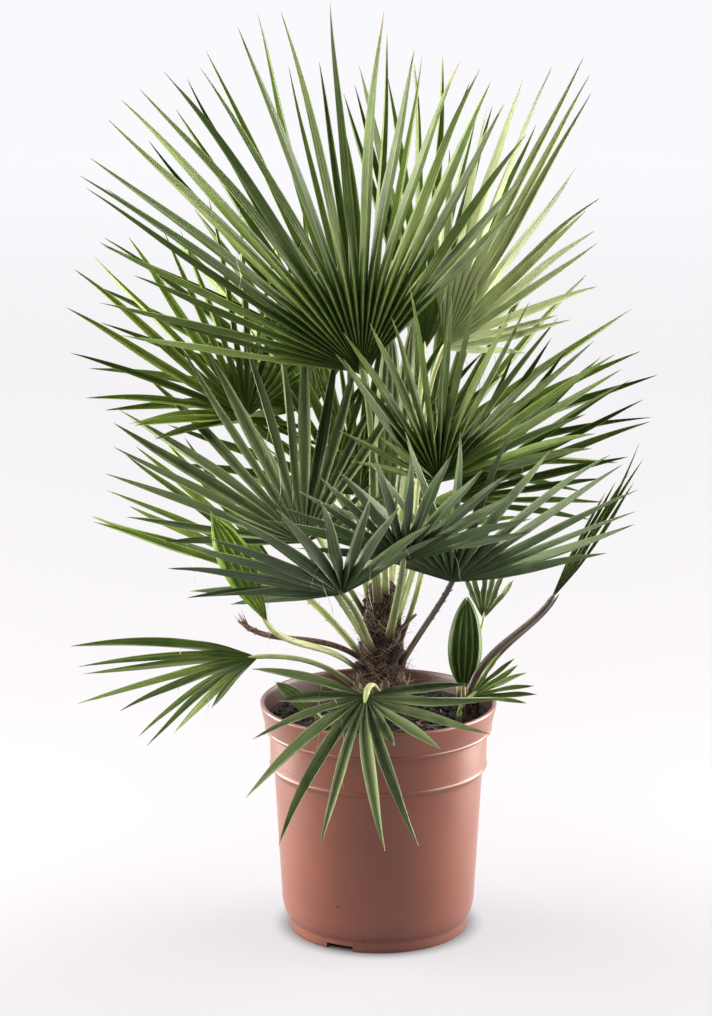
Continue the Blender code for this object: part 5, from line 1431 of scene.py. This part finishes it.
# %% [markdown]
# ## The dry stalk
# One old stalk has lost its fan. It is brown, thinner than a living one, and its end is a tuft
# of torn fibres.

# %% Dry stalk
def dry_finish():
    """Dead stalk: matt brown, with dark streaks."""
    material, tree, shader = start_material("dead_palm_stalk", 0.8)
    streaks = add(tree, "TexNoise", {"Vector": add(tree, "TexCoord", out="Object"), "Scale": 300,
                                     "Detail": 4})
    colour = add(tree, "Mix", {0: add(tree, "MapRange", {0: streaks, 1: 0.3, 2: 0.7}, **RISE),
                               6: paint("3a2620"), 7: paint("7a5c4a")}, **COLOUR)
    finish_material(tree, shader, colour, (), streaks, 0.0005)
    return material


def make_dry_stalk(draw, torn=26):
    """The stalk is found in its solid like the others, and torn fibres stand out of its end."""
    way, normal, tip = compass(150, 40), compass(-90, 60), np.array((-0.142, -0.020, 0.345))
    _, tree = corners_of("dry_stalk")
    hub = min((tip + normal * shift for shift in SHIFTS),
              key=lambda hub: tree.find(hub + way * .020 + unit(np.cross(normal, way)) * .0045)[2])
    stalk = find_stalk("dry_stalk", (178, 0.290), hub, way, unit(np.cross(normal, way)), False,
                       tree)
    rings, share, around = stalk_rings(stalk)
    bundle = Bundle()
    bundle.add(rings, (share, around))
    spines, share = spine_rings(stalk, draw, 8)
    bundle.add(spines, (share, 0.5))
    spread = draw.normal(0, 0.25, (torn, 3))
    start = hub - way * 0.004 + draw.normal(0, 0.0010, (torn, 3))
    lines = hair_lines(start, unit(way + spread * 0.5), spread * 0.3,
                       draw.uniform(0.010, 0.024, torn))
    bundle.add(strand_rings(lines, draw.uniform(.0003, .0008, torn)), (0.5, 0.5))
    stand_for(bundle.make("dry_stalk_fibres", [dry_finish()]), "leaf_dry", "dry_stalk")


make_dry_stalk(draw)

# %% [markdown]
# ## Floor and light
# The photograph has a white studio round it: bright on both sides and behind, and dark behind
# the camera. So the sides of the pot are light and its middle is dark. The sky of the scene
# does the same: its brightness follows the direction. Image lighting could do it too, but a
# sky of one rising value and five soft boxes need no file.

# %% Floor
# The glow far in front, and what it gains from one y to the next, in metres
GLOW_LEAST, GLOW_STEPS = 0.32, ((-1.0, -0.35, 0.25), (-0.5, 0.6, 0.08), (1.0, 7.0, 0.20))
FLOOR_HALF = 30


def sweep_paper():
    """Matt white paper whose brightness is mostly a painted glow of its own, so that shadows
    hardly show on it. The glow is weaker towards the camera and a touch stronger far away, and it
    fades to nothing under the pot, which stands at the floor's middle: a painted shadow round its
    foot."""
    material, tree, shader = start_material("white_sweep_paper", 0.9)
    place = add(tree, "TexCoord", out="Object")
    y = add(tree, "SeparateXYZ", {0: place}, out=1)
    glow = GLOW_LEAST
    for low, high, rise in GLOW_STEPS:
        step = add(tree, "MapRange", {0: y, 1: low, 2: high, 4: rise}, **RISE)
        glow = add(tree, "Math", {0: glow, 1: step})
    # Painted shadow: the glow fades to nothing under the pot and round its foot
    away = add(tree, "VectorMath", {0: place}, out=1, operation="LENGTH")
    glow = add(tree, "Math", {0: glow, 1: add(
        tree, "MapRange", {0: away, 1: 0.086, 2: 0.122}, **RISE)}, operation="MULTIPLY")
    tree.links.new(glow, shader.inputs["Emission Strength"])
    shader.inputs["Emission Color"].default_value = paint("fdfcff")
    grain = add(tree, "TexNoise", {"Vector": place, "Scale": 3.0})
    base = add(tree, "Mix", {0: grain, 6: paint("4a494d"), 7: paint("4c4b50")}, **COLOUR)
    finish_material(tree, shader, base, (), None, 0)
    return material


mesh = bpy.data.meshes.new("floor")
corners = np.array(((-1, -1, 0), (1, -1, 0), (1, 1, 0), (-1, 1, 0))) * FLOOR_HALF
mesh.from_pydata(corners.tolist(), [], [(0, 1, 2, 3)])
floor = bpy.data.objects.new("floor", mesh)
bpy.context.scene.collection.objects.link(floor)
floor.data.materials.append(sweep_paper())
print("floor", 2 * FLOOR_HALF, "m across")


# %% Sky and soft boxes
def studio_sky(dark, bright):
    """A world whose strength rises from the side behind the camera to the far side."""
    world = bpy.data.worlds.new("studio")
    world.use_nodes = True
    tree = world.node_tree
    y = add(tree, "SeparateXYZ", {0: add(tree, "TexCoord", out="Generated")}, out=1)
    rise = add(tree, "MapRange", {0: y, 1: -0.85, 2: 0.25, 3: dark, 4: bright}, **RISE)
    back = tree.nodes["Background"]
    tree.links.new(rise, back.inputs["Strength"])
    back.inputs["Color"].default_value = paint("fafafd")
    bpy.context.scene.world = world


def soft_box(name, place, target, size, power):
    """A warm rectangular light: it shines along its own -Z, which is turned to its target."""
    data = bpy.data.lights.new(name, "AREA")
    data.shape, data.size, data.size_y, data.energy = "RECTANGLE", *size, power
    data.color = paint("fff6ea")[:3]
    lamp = bpy.data.objects.new(name, data)
    aim = np.array(target) - np.array(place)
    lamp.location = place
    lamp.rotation_euler = (math.atan2(np.hypot(aim[0], aim[1]), -aim[2]), 0,
                           math.atan2(aim[1], aim[0]) - math.pi / 2)
    bpy.context.scene.collection.objects.link(lamp)


studio_sky(0.04, 1.15)
# Place, target and size are in metres, and the power is in watts
soft_box("left_box", (-2.9, 0.3, 1.5), (0, 0, 0.4), (4.0, 3.0), 385)
soft_box("right_box", (2.9, 0.4, 1.5), (0, 0, 0.4), (4.0, 3.0), 365)
soft_box("left_strip", (-0.85, 0.28, 0.16), (0, 0, 0.13), (0.5, 0.3), 7.5)
soft_box("right_strip", (0.85, 0.28, 0.16), (0, 0, 0.13), (0.5, 0.3), 8.0)
soft_box("top_box", (-0.7, -0.5, 2.7), (0, 0, 0.5), (1.2, 1.2), 30)
bpy.context.scene.view_settings.view_transform = "Standard"
